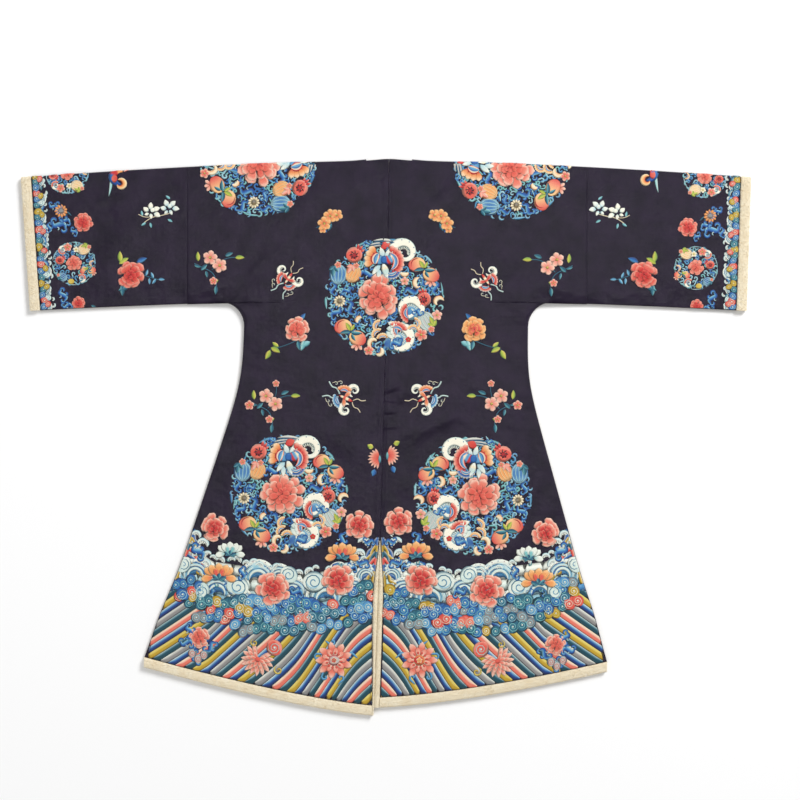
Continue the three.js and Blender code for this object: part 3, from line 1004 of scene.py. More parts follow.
class Ground:
    """The satin under the embroidery: its height, its shoulder fold and its outline."""

    SLEEVE_FROM = 400
    SKIRT_TOP = 250
    EDGE_MARGIN = 1.2
    SHOWN_ANGLE = math.radians(110)
    LAST_ANGLE = math.radians(112)

    def __init__(self, pieces: Sequence[bpy.types.Object], cut: CoatCut) -> None:
        """Reads the satin shells.

        Args:
            pieces: The shells.
            cut: The coat's cut.
        """
        self.cut = cut
        points: list[Vector] = []
        faces: list[list[int]] = []
        for piece in pieces:
            start = len(points)
            points.extend(vertex.co.copy() for vertex in piece.data.vertices)
            faces.extend([start + index for index in polygon.vertices] for polygon in piece.data.polygons)
        self.tree = BVHTree.FromPolygons(points, faces)
        self.radius = cut.fold_radius
        outs = np.linspace(0, 870, 200)
        folds, sleeves = [], []
        for half in Half:
            folds.append(cut.lay(half, outs, cut.shoulder_top - self.radius))
            sleeves.append(cut.lay(half, np.linspace(396, 870, 100), cut.underarm))
        self.fold_line = [self._sorted(line) for line in folds]
        self.sleeve_line = [self._sorted(line) for line in sleeves]
        heights = np.linspace(cut.hem_level, cut.underarm - 62, 200)
        self.sides = [self._sorted(cut.lay(half, cut.side_edge(heights), heights)[::-1]) for half in Half]

    @staticmethod
    def _sorted(line: tuple[np.ndarray, np.ndarray]) -> tuple[np.ndarray, np.ndarray]:
        """A line's points, in the order that interpolation needs."""
        order = np.argsort(line[0])
        return line[0][order], line[1][order]

    def _read(self, lines: Sequence[tuple[np.ndarray, np.ndarray]], x: np.ndarray) -> np.ndarray:
        """Reads a left and a right line at x."""
        left, right = (np.interp(x, *line) for line in lines)
        return np.where(x < self.cut.middle(600), left, right)

    def trim(self, xy: np.ndarray) -> np.ndarray:
        """Brings points that lie beyond the sleeve's lower edge or the skirt's sides back to them.

        Args:
            xy: The places, as x, y rows.

        Returns:
            The places, on the cloth.
        """
        x, y = xy[:, 0].copy(), xy[:, 1].copy()
        on_sleeve = (np.abs(x) > self.SLEEVE_FROM) & (y > self.SKIRT_TOP)
        y = np.where(on_sleeve, np.maximum(y, self._read(self.sleeve_line, x) + self.EDGE_MARGIN), y)
        low = np.interp(y, *self.sides[0]) + self.EDGE_MARGIN
        high = np.interp(y, *self.sides[1]) - self.EDGE_MARGIN
        x = np.where(y < self.SKIRT_TOP, np.clip(x, low, high), x)
        return np.stack([x, y], 1)

    def drape(self, xy: np.ndarray, lift: np.ndarray) -> tuple[np.ndarray, np.ndarray]:
        """Lays flat places on the satin, round the shoulder fold where they pass it.

        Args:
            xy: The places, as x, y rows.
            lift: How far each stands off the satin.

        Returns:
            The points, and a mask of those that show on the back.
        """
        fold = self._read(self.fold_line, xy[:, 0])
        points = np.empty((len(xy), 3))
        points[:, :2] = xy
        over = xy[:, 1] > fold
        turn = np.clip((xy[:, 1] - fold) / self.radius, 0, self.LAST_ANGLE)
        away = self.radius + lift
        points[over, 1] = (fold + away * np.sin(turn))[over]
        points[over, 2] = (self.radius + away * np.cos(turn))[over]
        down = Vector((0, 0, -1))
        for i in np.flatnonzero(~over):
            hit = self.tree.ray_cast(Vector((xy[i, 0] * MM, xy[i, 1] * MM, 1)), down)[0]
            points[i, 2] = (hit.z / MM if hit else 0.0) + lift[i]
        shown = ~over | (turn < self.SHOWN_ANGLE)
        return points, shown


@dataclass(frozen=True)
class Place:
    """Where a motif is stitched: its middle, turn, scale, and whether it is mirrored left to right."""

    x: float = 0
    y: float = 0
    turn: float = 0
    size: float = 1
    flip: bool = False

    def apply(self, points: np.ndarray) -> np.ndarray:
        """Carries local points to the coat.

        Args:
            points: The points, as x and y in the last axis.

        Returns:
            The points in the row frame.
        """
        turned = points * np.array([-1.0 if self.flip else 1.0, 1.0]) * self.size
        angle = math.radians(self.turn)
        cos, sin = math.cos(angle), math.sin(angle)
        x, y = turned[..., 0], turned[..., 1]
        return np.stack([x * cos - y * sin + self.x, x * sin + y * cos + self.y], -1)

    def inner(self, x: float = 0, y: float = 0, turn: float = 0, size: float = 1, flip: bool = False) -> Place:
        """A place inside this one.

        Args:
            x: Its x in this place's units.
            y: Its y.
            turn: Its turn, in degrees.
            size: Its size.
            flip: Whether it is mirrored.

        Returns:
            The place.
        """
        at = self.apply(np.array([x, y], float))
        way = -turn if self.flip else turn
        return Place(float(at[0]), float(at[1]), self.turn + way, self.size * size, self.flip != flip)


# Tints: the colour of a stitched shape by t along it, from 0 to 1, and s across it, from -1 to 1.


def _blend(stops: Sequence[Silk], value: np.ndarray) -> np.ndarray:
    """Reads a run of colours at values from 0 to 1.

    Args:
        stops: The colours.
        value: The values.

    Returns:
        The colour at each value.
    """
    colours = np.array([stop.linear for stop in stops])
    spots = np.linspace(0, 1, len(stops))
    return np.stack([np.interp(value, spots, colours[:, c]) for c in range(3)], -1)


def along(*stops: Silk) -> Tint:
    """Colours that change from the shape's start to its end."""
    return lambda t, s: _blend(stops, t + 0 * s)


def across(*stops: Silk) -> Tint:
    """Colours that change from one side of the shape to the other."""
    return lambda t, s: _blend(stops, (s + 1) / 2 + 0 * t)


def rimmed(rim: Silk, *stops: Silk, start: float = 0.55) -> Tint:
    """Colours along the shape that pale to a rim at its sides and end.

    Args:
        rim: The rim's colour.
        stops: The colours along the shape.
        start: Where the rim starts, from 0 in the middle to 1 at the edge.

    Returns:
        The tint.
    """

    def tint(t: np.ndarray, s: np.ndarray) -> np.ndarray:
        """Mixes the run with the rim.

        Args:
            t: Places along the shape.
            s: Places across it.

        Returns:
            The colours.
        """
        body = _blend(stops, t + 0 * s)
        edge = smooth(start, 1.0, np.maximum(np.abs(s) + 0 * t, t + 0 * s))[..., None]
        return body * (1 - edge) + rim.linear * edge

    return tint


def banded(*stops: Silk) -> Tint:
    """Plain bands of colour, one after the other along the shape.

    Args:
        stops: The bands' colours.

    Returns:
        The tint.
    """

    def tint(t: np.ndarray, s: np.ndarray) -> np.ndarray:
        """Picks the band."""
        index = np.clip(((t + 0 * s) * len(stops)).astype(int), 0, len(stops) - 1)
        return np.array([stop.linear for stop in stops])[index]

    return tint


def striped(*stops: Silk) -> Tint:
    """Plain stripes of colour side by side.

    Args:
        stops: The stripes' colours.

    Returns:
        The tint.
    """

    def tint(t: np.ndarray, s: np.ndarray) -> np.ndarray:
        """Picks the stripe."""
        index = np.clip((((s + 1) / 2 + 0 * t) * len(stops)).astype(int), 0, len(stops) - 1)
        return np.array([stop.linear for stop in stops])[index]

    return tint


@lru_cache(maxsize=None)
def grid_faces(rows: int, columns: int) -> tuple[np.ndarray, np.ndarray, np.ndarray]:
    """The faces of a stitched shape's grid, closed underneath.

    Args:
        rows: How many points it has along.
        columns: How many across.

    Returns:
        The faces' vertex numbers in a row, each face's size, and 1 for each corner that is underneath.
    """
    loops: list[int] = []
    sizes: list[int] = []
    under: list[int] = []
    for i in range(rows - 1):
        for j in range(columns - 1):
            a = i * columns + j
            loops += [a, a + columns, a + columns + 1, a + 1]
            sizes.append(4)
            under += [0] * 4
    for i in range(rows - 1):
        left, right = i * columns, i * columns + columns - 1
        first = list(range(left, right + 1)) if i == 0 else [left, right]
        second = [right + columns, left + columns]
        if i == rows - 2:
            second = list(range(right + columns, left + columns - 1, -1))
        loops += first + second
        sizes.append(len(first) + len(second))
        under += [1] * (len(first) + len(second))
    return np.array(loops), np.array(sizes), np.array(under)


@dataclass
class Stitched:
    """One stitched shape: a grid of places with its lift and its colours."""

    xy: np.ndarray
    lift: np.ndarray
    dye: np.ndarray
    length: float
    width: float


class Needlework:
    """Gathers the stitched shapes of one embroidered area and makes them one mesh."""

    DYE = "Dye"
    STITCH = "Stitch"
    BAKE = "OFBake"
    UNDER_STRIP = 1.2
    LAYER_STEP = 0.2
    BASE_LIFT = 0.2
    PUFF_SHARE = 0.6
    BRIDGE = 0.1

    def __init__(self, name: str, ground: Ground) -> None:
        """Starts an empty area.

        Args:
            name: The piece's name.
            ground: The satin that it is stitched on.
        """
        self.name = name
        self.ground = ground
        self.shapes: list[Stitched] = []

    def add(self, xy: np.ndarray, tint: Tint, layer: float, puff: float) -> None:
        """Adds a shape from its grid of places.

        Args:
            xy: The places, as rows by columns by two.
            tint: Its colours.
            layer: How many layers of stitching lie under it.
            puff: How far its middle stands above its edges.
        """
        rows, columns = xy.shape[:2]
        t = np.linspace(0, 1, rows)[:, None]
        s = np.linspace(-1, 1, columns)[None, :]
        crown = (1 - s * s) * np.clip(4 * t * (1 - t) * 2.5, 0, 1)
        crown[0], crown[-1] = 0, 0
        lift = layer * self.LAYER_STEP + self.BASE_LIFT + self.PUFF_SHARE * puff * crown
        length = float(np.linalg.norm(np.diff(xy[:, columns // 2], axis=0), axis=1).sum())
        width = float(np.linalg.norm(xy[:, -1] - xy[:, 0], axis=1).max())
        if length < 0.3 or width < 0.2:
            return
        self.shapes.append(Stitched(xy, lift, tint(t, s), length, width))

    def ribbon(
        self, place: Place, path: np.ndarray, half: np.ndarray, tint: Tint,
        layer: float = 0, puff: float = 0.5, columns: int = 5,
    ) -> None:
        """Adds a shape swept along a path.

        Args:
            place: Where it goes.
            path: The middle line's local points.
            half: Half its width at each point.
            tint: Its colours.
            layer: How many layers of stitching lie under it.
            puff: How far its middle stands above its edges.
            columns: How many points it has across.
        """
        slope = np.gradient(path, axis=0)
        slope /= np.maximum(np.linalg.norm(slope, axis=1, keepdims=True), 1e-9)
        normal = np.stack([-slope[:, 1], slope[:, 0]], 1)
        s = np.linspace(-1, 1, columns)[None, :, None]
        grid = path[:, None, :] + normal[:, None, :] * np.maximum(half, 0.002)[:, None, None] * s
        self.add(place.apply(grid), tint, layer, puff)

    def _bake_cells(self) -> tuple[list[tuple[float, float, float, float]], float]:
        """Lays every shape in a cell of its own on a square bake map.

        Returns:
            Each cell's left, bottom, width and height, and the square's side.
        """
        total = sum((s.length + 2) * (s.width + self.UNDER_STRIP + 2) for s in self.shapes)
        side = math.sqrt(total) * 1.08 + 4
        order = sorted(range(len(self.shapes)), key=lambda k: -self.shapes[k].width)
        while True:
            pad = 3.0 * side / 512
            cells: list[tuple[float, float, float, float]] = [(0, 0, 0, 0)] * len(self.shapes)
            x, y, shelf = pad, pad, 0.0
            for k in order:
                shape = self.shapes[k]
                wide = min(shape.length, side - 2.5 * pad)
                tall = shape.width + self.UNDER_STRIP
                if x + wide + pad > side:
                    x, y, shelf = pad, y + shelf + pad, 0.0
                cells[k] = (x, y, wide, tall)
                x += wide + pad
                shelf = max(shelf, tall)
            if y + shelf + pad <= side:
                return cells, side
            side *= 1.06

    def build(self) -> bpy.types.Object:
        """Makes the mesh, with its dye, its stitch map and its bake map.

        Returns:
            The piece's object.
        """
        cells, side = self._bake_cells()
        xy = np.concatenate([shape.xy.reshape(-1, 2) for shape in self.shapes])
        lift = np.concatenate([shape.lift.reshape(-1) for shape in self.shapes])
        dye = np.concatenate([shape.dye.reshape(-1, 3) for shape in self.shapes])
        points, shown = self.ground.drape(self.ground.trim(xy), lift)
        loops, sizes, bake, stitch = [], [], [], []
        start = 0
        for shape, (left, bottom, wide, tall) in zip(self.shapes, cells):
            rows, columns = shape.xy.shape[:2]
            corners, counts, under = grid_faces(rows, columns)
            t = (corners // columns) / (rows - 1)
            s = (corners % columns) / (columns - 1)
            main = tall - self.UNDER_STRIP
            self._bridge(points[start : start + rows * columns, 2].reshape(rows, columns))
            v = np.where(under == 1, main + 0.4 + s * (self.UNDER_STRIP - 0.4), s * main)
            bake.append(np.stack([left + t * wide, bottom + v], 1) / side)
            stitch.append(np.stack([t * shape.length, s * shape.width], 1))
            loops.append(corners + start)
            sizes.append(counts)
            start += rows * columns
        return self._finish(points, shown, dye, map(np.concatenate, (loops, sizes, bake, stitch)))

    def _bridge(self, heights: np.ndarray) -> None:
        """Lifts a shape's middle clear of the straight line between its sides, as floating stitches are.

        Args:
            heights: The shape's heights, in rows. They are changed in place.
        """
        s = np.linspace(0, 1, heights.shape[1])[None, :]
        chord = heights[:, :1] * (1 - s) + heights[:, -1:] * s
        heights[:] = np.maximum(heights, chord + self.BRIDGE * 4 * s * (1 - s))

    def _finish(self, points: np.ndarray, shown: np.ndarray, dye: np.ndarray, parts: map) -> bpy.types.Object:
        """Drops what is hidden or has no width, and makes the object.

        Args:
            points: All points.
            shown: Which of them show.
            dye: Their colours.
            parts: The loops, the faces' sizes, and both sets of coordinates.

        Returns:
            The object.
        """
        loops, sizes, bake, stitch = parts
        starts = np.concatenate([[0], np.cumsum(sizes)[:-1]])
        keep = np.ones(len(sizes), bool)
        for f in range(len(sizes)):
            corners = loops[starts[f] : starts[f] + sizes[f]]
            if not shown[corners].all():
                keep[f] = False
                continue
            a, b, c = points[corners[0]], points[corners[len(corners) // 2]], points[corners[1]]
            d = points[corners[-1]]
            if np.linalg.norm(np.cross(b - a, d - c)) < 1e-4:
                keep[f] = False
        corner_keep = np.repeat(keep, sizes)
        loops, bake, stitch, sizes = loops[corner_keep], bake[corner_keep], stitch[corner_keep], sizes[keep]
        used, loops = np.unique(loops, return_inverse=True)
        mesh = bpy.data.meshes.new(self.name)
        mesh.vertices.add(len(used))
        mesh.vertices.foreach_set("co", (points[used] * MM).reshape(-1))
        mesh.loops.add(len(loops))
        mesh.loops.foreach_set("vertex_index", loops.astype(np.int32))
        mesh.polygons.add(len(sizes))
        starts = np.concatenate([[0], np.cumsum(sizes)[:-1]]).astype(np.int32)
        mesh.polygons.foreach_set("loop_start", starts)
        mesh.polygons.foreach_set("use_smooth", np.ones(len(sizes), bool))
        mesh.update(calc_edges=True)
        colours = mesh.attributes.new(self.DYE, "FLOAT_COLOR", "POINT")
        rgba = np.concatenate([dye[used], np.ones((len(used), 1))], 1)
        colours.data.foreach_set("color", rgba.reshape(-1))
        for name, values in ((self.BAKE, bake), (self.STITCH, stitch)):
            layer = mesh.uv_layers.new(name=name)
            layer.data.foreach_set("uv", values.reshape(-1))
        mesh.uv_layers[self.BAKE].active_render = True
        mesh.validate()
        made = bpy.data.objects.new(self.name, mesh)
        bpy.context.scene.collection.objects.link(made)
        made.data.materials.append(ThreadFinish().material())
        return made


class Motifs:
    """The stitched motifs. Each is drawn about its place in units of its own size.

    Every motif takes its place, then its own sizes and colours, and the layer that it is stitched on.
    """

    def __init__(self, work: Needlework) -> None:
        """Draws into one embroidered area."""
        self.work = work

    # Plain shapes.

    def petal(
        self, at: Place, length: float, width: float, tint: Tint, layer: float = 0,
        belly: float = 0.6, bend: float = 0.0, puff: float = 0.35, rows: int = 7, columns: int = 5,
    ) -> None:
        """A petal or leaf from the place along its +x.

        Args:
            at: Its root.
            length: Its length.
            width: Its greatest width.
            tint: Its colours.
            layer: Its layer.
            belly: Where it is widest: below 0.6 nearer its tip, above nearer its root.
            bend: How far its tip swings aside, for its length.
            puff: Its loft.
            rows: Points along.
            columns: Points across.
        """
        t = np.linspace(0, 1, rows)
        path = np.stack([length * t, bend * length * t * t], 1)
        half = width / 2 * np.sin(np.pi * t ** (0.6 / belly)) ** (0.55 if belly < 0.6 else 0.8)
        self.work.ribbon(at, path, np.maximum(half, width * 0.03), tint, layer, puff, columns)

    def disc(
        self, at: Place, rx: float, ry: float, tint: Tint, layer: float = 0,
        puff: float = 0.3, rows: int = 8, columns: int = 5,
    ) -> None:
        """A round or oval shape about the place.

        Args:
            at: Its middle.
            rx: Its radius along x.
            ry: Its radius along y.
            tint: Its colours.
            layer: Its layer.
            puff: Its loft.
            rows: Points along.
            columns: Points across.
        """
        t = np.linspace(0, 1, rows)
        path = np.stack([-rx * np.cos(np.pi * t), 0 * t], 1)
        half = np.maximum(ry * np.sin(np.pi * t), 0.04 * ry)
        self.work.ribbon(at, path, half, tint, layer, puff, columns)

    def comma(
        self, at: Place, radius: float, sweep: float, width: float, tint: Tint, layer: float = 0,
        shrink: float = 0.5, head: float = 0.45, puff: float = 0.3, rows: int = 11, columns: int = 4,
    ) -> None:
        """A curled lobe that is widest near its head and thins as it curls in.

        Args:
            at: The middle of its curl.
            radius: The radius that it starts at.
            sweep: The angle that it turns through, in degrees.
            width: Its greatest width.
            tint: Its colours.
            layer: Its layer.
            shrink: How much of the radius is gone at its end.
            head: Where along it is widest.
            puff: Its loft.
            rows: Points along.
            columns: Points across.
        """
        t = np.linspace(0, 1, rows)
        angle = np.radians(sweep) * t
        reach = radius * (1 - shrink * t)
        path = np.stack([reach * np.cos(angle), reach * np.sin(angle)], 1)
        half = width / 2 * np.sin(np.pi * t ** (math.log(0.5) / math.log(head))) ** 0.7
        self.work.ribbon(at, path, np.maximum(half, width * 0.05), tint, layer, puff, columns)

    def curl(
        self, at: Place, radius: float, turns: float, width: float, tint: Tint, layer: float = 0,
        tail: float = 0.0, puff: float = 0.2, rows: int = 0, columns: int = 3,
    ) -> None:
        """A spiral line that winds out from its middle, with a straight tail.

        Args:
            at: Its middle.
            radius: Its outer radius.
            turns: How many turns it has.
            width: The line's width.
            tint: Its colours.
            layer: Its layer.
            tail: The tail's length.
            puff: Its loft.
            rows: Points along, or 0 for as many as it needs.
            columns: Points across.
        """
        count = rows or max(7, round(10 * turns))
        t = np.linspace(0, 1, count)
        angle = 2 * math.pi * turns * t
        reach = radius * (0.12 + 0.88 * t)
        path = np.stack([reach * np.cos(angle), reach * np.sin(angle)], 1)
        if tail:
            away = path[-1] - path[-2]
            away /= np.linalg.norm(away)
            path = np.concatenate([path, path[-1] + away * tail * np.array([[0.5], [1.0]])])
        stops = np.arange(len(path))
        taper = np.clip(np.minimum(stops + 0.6, len(path) - stops - 0.6) / 2, 0.2, 1)
        self.work.ribbon(at, path, width / 2 * taper, tint, layer, puff, columns)

    def ring(self, at: Place, count: int, inner: float, draw: Callable[[Place, int], None],
             start: float = 0) -> None:
        """Repeats a shape round the place.

        Args:
            at: The middle.
            count: How many there are.
            inner: How far from the middle each one starts.
            draw: Draws one, given its root and its number.
            start: The first one's angle.
        """
        for k in range(count):
            angle = math.radians(start + 360 * k / count)
            draw(at.inner(inner * math.cos(angle), inner * math.sin(angle), math.degrees(angle)), k)

    def fan(self, at: Place, leaves: Sequence[tuple[float, float, float, float, float]], tint: Tint,
            layer: float = 1, belly: float = 0.7, bend: float = 0.14) -> None:
        """Leaves or petals at given places.

        Args:
            at: The place that they are measured from.
            leaves: Each one's x, y, turn, length and width.
            tint: Their colours.
            layer: Their layer.
            belly: Where each is widest.
            bend: How far their tips swing aside.
        """
        for k, (x, y, turn, length, width) in enumerate(leaves):
            self.petal(at.inner(x, y, turn), length, width, tint, layer + 0.2 * (k % 3), belly=belly, bend=bend)

    # Flowers.

    def peony(self, at: Place, warm: Dyes, seed: int = 3, layer: float = 2, petals: int = 8) -> None:
        """A full peony of radius 1: rings of uneven petals that pale to their edges.

        Args:
            at: Its place.
            warm: Its dark, middle and pale colours.
            seed: What its unevenness is drawn from.
            layer: The layer of its outer petals.
            petals: How many petals its outer ring has.
        """
        dark, middle, pale = warm
        dice = random.Random(seed)
        rings = ((petals, 0.42, 0.56), (petals - 1, 0.26, 0.52), (petals - 2, 0.12, 0.44),
                 (petals - 4, 0.02, 0.3))
        for level, (count, inner, length) in enumerate(rings):
            width = 7.0 * (inner + 0.62 * length) / count
            tint = rimmed(middle, dark, dark, start=0.5)
            if level < 2:
                tint = rimmed(pale, dark, middle, middle, start=0.58)
            start = dice.uniform(0, 90)
            for k in range(count):
                turn = start + 360 * k / count + dice.uniform(-9, 9)
                angle = math.radians(turn)
                root = at.inner(inner * math.cos(angle), inner * math.sin(angle), turn)
                self.petal(root.inner(turn=dice.uniform(-12, 12)), length * dice.uniform(0.8, 1.15),
                           width * dice.uniform(0.85, 1.15), tint, layer + 1.2 * level + 0.5 * (k % 2),
                           belly=0.4, bend=dice.uniform(-0.15, 0.15), columns=6 if level < 2 else 5)
        self.fan(at, ((-0.1, 0, 20, 0.2, 0.07), (0.02, 0.06, 100, 0.18, 0.06), (0.05, -0.12, -60, 0.2, 0.07)),
                 along(dark, Silk.DEEP_RED), layer + 5.4, bend=0.4)

    def cup_flower(self, at: Place, warm: Dyes, layer: float = 2) -> None:
        """A flower of radius 1 seen from the side: a dome, two hanging petals and teal leaves.

        Args:
            at: Its place.
            warm: The petals' dark, middle and pale colours.
            layer: Its layer.
        """
        dark, middle, pale = warm
        outer = rimmed(pale, dark, middle, middle, start=0.6)
        self.fan(at, ((-0.4, -0.12, 200, 0.75, 0.52), (-0.32, 0.0, 152, 0.75, 0.5)), outer, layer, 0.45, -0.2)
        self.fan(at, ((0.4, -0.12, -20, 0.75, 0.52), (0.32, 0.0, 28, 0.75, 0.5)), outer, layer, 0.45, 0.2)
        self.fan(at, ((-0.24, -0.1, 112, 0.84, 0.55), (0.24, -0.1, 68, 0.84, 0.55), (0, -0.1, 90, 0.9, 0.6)),
                 outer, layer + 1, 0.42, 0)
        self.fan(at, ((-0.1, -0.1, 104, 0.6, 0.34), (0.12, -0.1, 74, 0.58, 0.34)),
                 rimmed(middle, dark, dark, start=0.7), layer + 2.4, 0.45, 0.1)
        teal = across(Silk.NAVY, Silk.TEAL, Silk.AQUA)
        self.fan(at, ((0, -0.3, 150, 0.52, 0.3), (0, -0.3, 30, 0.52, 0.3), (0, -0.2, 90, 0.34, 0.3),
                      (0, -0.2, 200, 0.4, 0.2), (0, -0.2, -20, 0.4, 0.2)), teal, layer + 3, 0.6, 0.2)
        self.curl(at.inner(0.1, -0.62, 90), 0.16, 0.9, 0.09, along(Silk.TEAL, Silk.AQUA), layer)

    def blossom(self, at: Place, tone: Dyes, layer: float = 2, count: int = 5) -> None:
        """An open blossom of radius 1 with round petals and a stamen centre.

        Args:
            at: Its place.
            tone: Its dark, middle and pale colours.
            layer: Its layer.
            count: How many petals it has.
        """
        dark, middle, pale = tone
        tint = rimmed(pale, dark, middle, middle, start=0.5)
        self.ring(at, count, 0.1,
                  lambda root, k: self.petal(root, 0.9, 0.85, tint, layer + 0.3 * (k % 2), belly=0.46),
                  start=90)
        self.disc(at, 0.2, 0.2, along(Silk.OLIVE, Silk.LEMON), layer + 1.4, rows=5, columns=4)

    def aster(self, at: Place, ray: Silk, heart: Silk, layer: float = 2, count: int = 11) -> None:
        """A daisy of radius 1 with blunt rays about a flat heart.

        Args:
            at: Its place.
            ray: The rays' colour.
            heart: The heart's colour.
            layer: Its layer.
            count: How many rays it has.
        """
        tint = along(heart, ray, ray)
        self.ring(at, count, 0.3,
                  lambda root, k: self.petal(root, 0.7, 0.46, tint, layer, 0.45, rows=5, columns=3))
        self.disc(at, 0.36, 0.36, along(heart, Silk.GREY), layer + 1, rows=6, columns=4)

    def medallion(self, at: Place, rays: Dyes, heart: tuple[Silk, Silk], layer: float = 2) -> None:
        """A star-like flower of radius 1: blunt rays, a ring of short red ones and a pale heart.

        Args:
            at: Its place.
            rays: The rays' dark, middle and pale colours.
            heart: The heart's two colours.
            layer: Its layer.
        """
        dark, middle, pale = rays
        self.ring(at, 9, 0.3,
                  lambda root, k: self.petal(root, 0.72, 0.42, along(dark, middle, pale), layer + 1, 0.55))
        self.ring(at, 9, 0.2,
                  lambda root, k: self.petal(root, 0.5, 0.3, along(pale, middle), layer + 1.8, 0.5), 20)
        self.ring(at, 12, 0.3,
                  lambda root, k: self.petal(root, 0.2, 0.14, along(dark, dark), layer + 2.6, rows=5,
                                             columns=3), 10)
        self.disc(at, 0.3, 0.3, rimmed(heart[1], heart[0], heart[0]), layer + 3)
        self.blossom(at.inner(size=0.17), (heart[1], heart[1], Silk.CREAM), layer + 3.6)

    def chrysanthemum(self, at: Place, tone: Dyes, spread: float = 320, layer: float = 2) -> None:
        """A chrysanthemum of radius 1: long curved rays over its spread, in three rows.

        Args:
            at: Its place.
            tone: Its dark, middle and pale colours.
            spread: The angle that its rays fill, in degrees.
            layer: Its layer.
        """
        dark, middle, pale = tone
        tint = rimmed(pale, dark, middle, middle, start=0.6)
        for row, (count, length, width) in enumerate(((13, 1.0, 0.3), (10, 0.78, 0.28), (7, 0.5, 0.26))):
            for k in range(count):
                root = at.inner(turn=90 - spread / 2 + spread * (k + 0.5) / count)
                self.petal(root, length, width, tint, layer + row + 0.3 * (k % 2), belly=0.42, bend=0.14,
                           columns=4)
        self.disc(at, 0.16, 0.16, along(dark, Silk.CORAL), layer + 3.6, rows=5, columns=4)

    def rosette(self, at: Place, layer: float = 2) -> None:
        """A coral fungus of radius 1 with dark gills wound about its middle.

        Args:
            at: Its place.
            layer: Its layer.
        """
        self.fan(at, ((0.6, 0.2, 10, 0.8, 0.36), (0.6, 0.4, 34, 0.8, 0.36), (0.5, 0.6, 60, 0.7, 0.36)),
                 along(Silk.DEEP_RED, Silk.RED, Silk.PINK), layer - 0.6)
        self.disc(at, 1, 1, rimmed(Silk.PINK, Silk.CORAL, Silk.CORAL, start=0.7), layer)
        self.disc(at, 0.5, 0.48, along(Silk.DEEP_RED, Silk.RED), layer + 0.6)
        self.comma(at.inner(turn=210), 0.74, 330, 0.36, across(Silk.CORAL, Silk.SALMON), layer + 1.2, 0.72, 0.3)
        self.ring(at, 7, 0.12,
                  lambda root, k: self.petal(root, 0.46, 0.15, along(Silk.INK, Silk.INK), layer + 1.8,
                                             bend=0.5, rows=5, columns=3))

    # Leaves and scrolls.

    def leaf(self, at: Place, length: float, width: float, greens: Dyes, layer: float = 1) -> None:
        """A leaf with one half darker than the other."""
        self.petal(at, length, width, across(*greens), layer, belly=0.7, bend=0.14)

    def scroll_leaf(self, at: Place, layer: float = 0.6) -> None:
        """A swirling blue acanthus leaf of length about 2: an S with curled ends that pale to its upper edge.

        Args:
            at: Its place.
            layer: Its layer.
        """
        deep = (Silk.NAVY, Silk.ROYAL, Silk.BLUE, Silk.SKY, Silk.ICE)
        t = np.linspace(0, 1, 13)
        path = np.stack([1.5 * t - 0.75, 0.36 * np.sin(2 * np.pi * t)], 1)
        self.work.ribbon(at, path, 0.05 + 0.24 * np.sin(np.pi * t) ** 0.7, across(*deep), layer, 0.3, 5)
        curls = ((0.62, 0.1, -70, 0.36, 240), (-0.62, -0.1, 110, 0.36, 240), (0.1, 0.42, 200, 0.26, -220))
        for k, (x, y, turn, radius, sweep) in enumerate(curls):
            tint = across(*deep) if sweep > 0 else across(*deep[::-1])
            self.comma(at.inner(x, y, turn), radius, sweep, 0.3, tint, layer + 0.5 + 0.3 * k, 0.6, columns=5)
        self.comma(at.inner(-0.1, -0.4, 40), 0.2, 200, 0.12, along(Silk.MIST, Silk.ICE), layer + 1, rows=8,
                   columns=3)

    def tendril(self, at: Place, tone: Silk = Silk.AQUA, layer: float = 0, turns: float = 0.9) -> None:
        """A curled tendril of radius 1 with a tail."""
        self.curl(at, 1.0, turns, 0.62, along(tone, tone, tone), layer, tail=1.2, rows=8)

    def stem(self, at: Place, points: Sequence[tuple[float, float]], width: float, tone: Silk) -> None:
        """A thin stem through a few points.

        Args:
            at: Its place.
            points: The points, as x and y.
            width: The stem's width.
            tone: Its colour.
        """
        ends = np.array(points, float)
        t = np.linspace(0, len(ends) - 1, 4 * len(ends))
        path = np.stack([np.interp(t, range(len(ends)), ends[:, c]) for c in range(2)], 1)
        for _ in range(7):
            path[1:-1] = (path[:-2] + path[1:-1] + path[2:]) / 3
        self.work.ribbon(at, path, np.full(len(path), width / 2), along(tone, tone), 0.3, 0.3, 3)

    # Fruit.

    def peach_pair(self, at: Place, layer: float = 2) -> None:
        """Two peaches of about radius 0.6 on a sprig of teal leaves.

        Args:
            at: Their place.
            layer: Their layer.
        """
        pale = (Silk.APRICOT, Silk.APRICOT, Silk.SALMON, Silk.RED)
        skins = (along(*pale[::-1]), along(*pale))
        for (x, y, turn), skin in zip(((-0.55, 0.3, 20), (0.52, -0.34, -18)), skins):
            self.disc(at.inner(x, y, turn), 0.6, 0.52, skin, layer, columns=7)
            self.comma(at.inner(x, y, turn + 60), 0.42, 130, 0.07, along(Silk.DEEP_RED, Silk.RED), layer + 1,
                       0.1, rows=7, columns=3)
        self.fan(at, ((0, 0.02, 178, 0.7, 0.28), (0, 0, -12, 0.75, 0.28), (0.1, -0.1, -70, 0.5, 0.22)),
                 across(*LEAF_TEAL), layer + 1.6, bend=0.3)
        self.fan(at, ((-0.05, 0.1, 118, 0.6, 0.3), (0.0, 0.1, 60, 0.5, 0.24)), across(*LEAF_LIME), layer + 1.9)
        self.fan(at,
                 ((0.5, -0.8, 210, 0.4, 0.24), (0.55, -0.82, 260, 0.36, 0.24), (0.62, -0.78, 310, 0.4, 0.24)),
                 along(Silk.SALMON, Silk.BLUSH), layer - 0.5, 0.45)

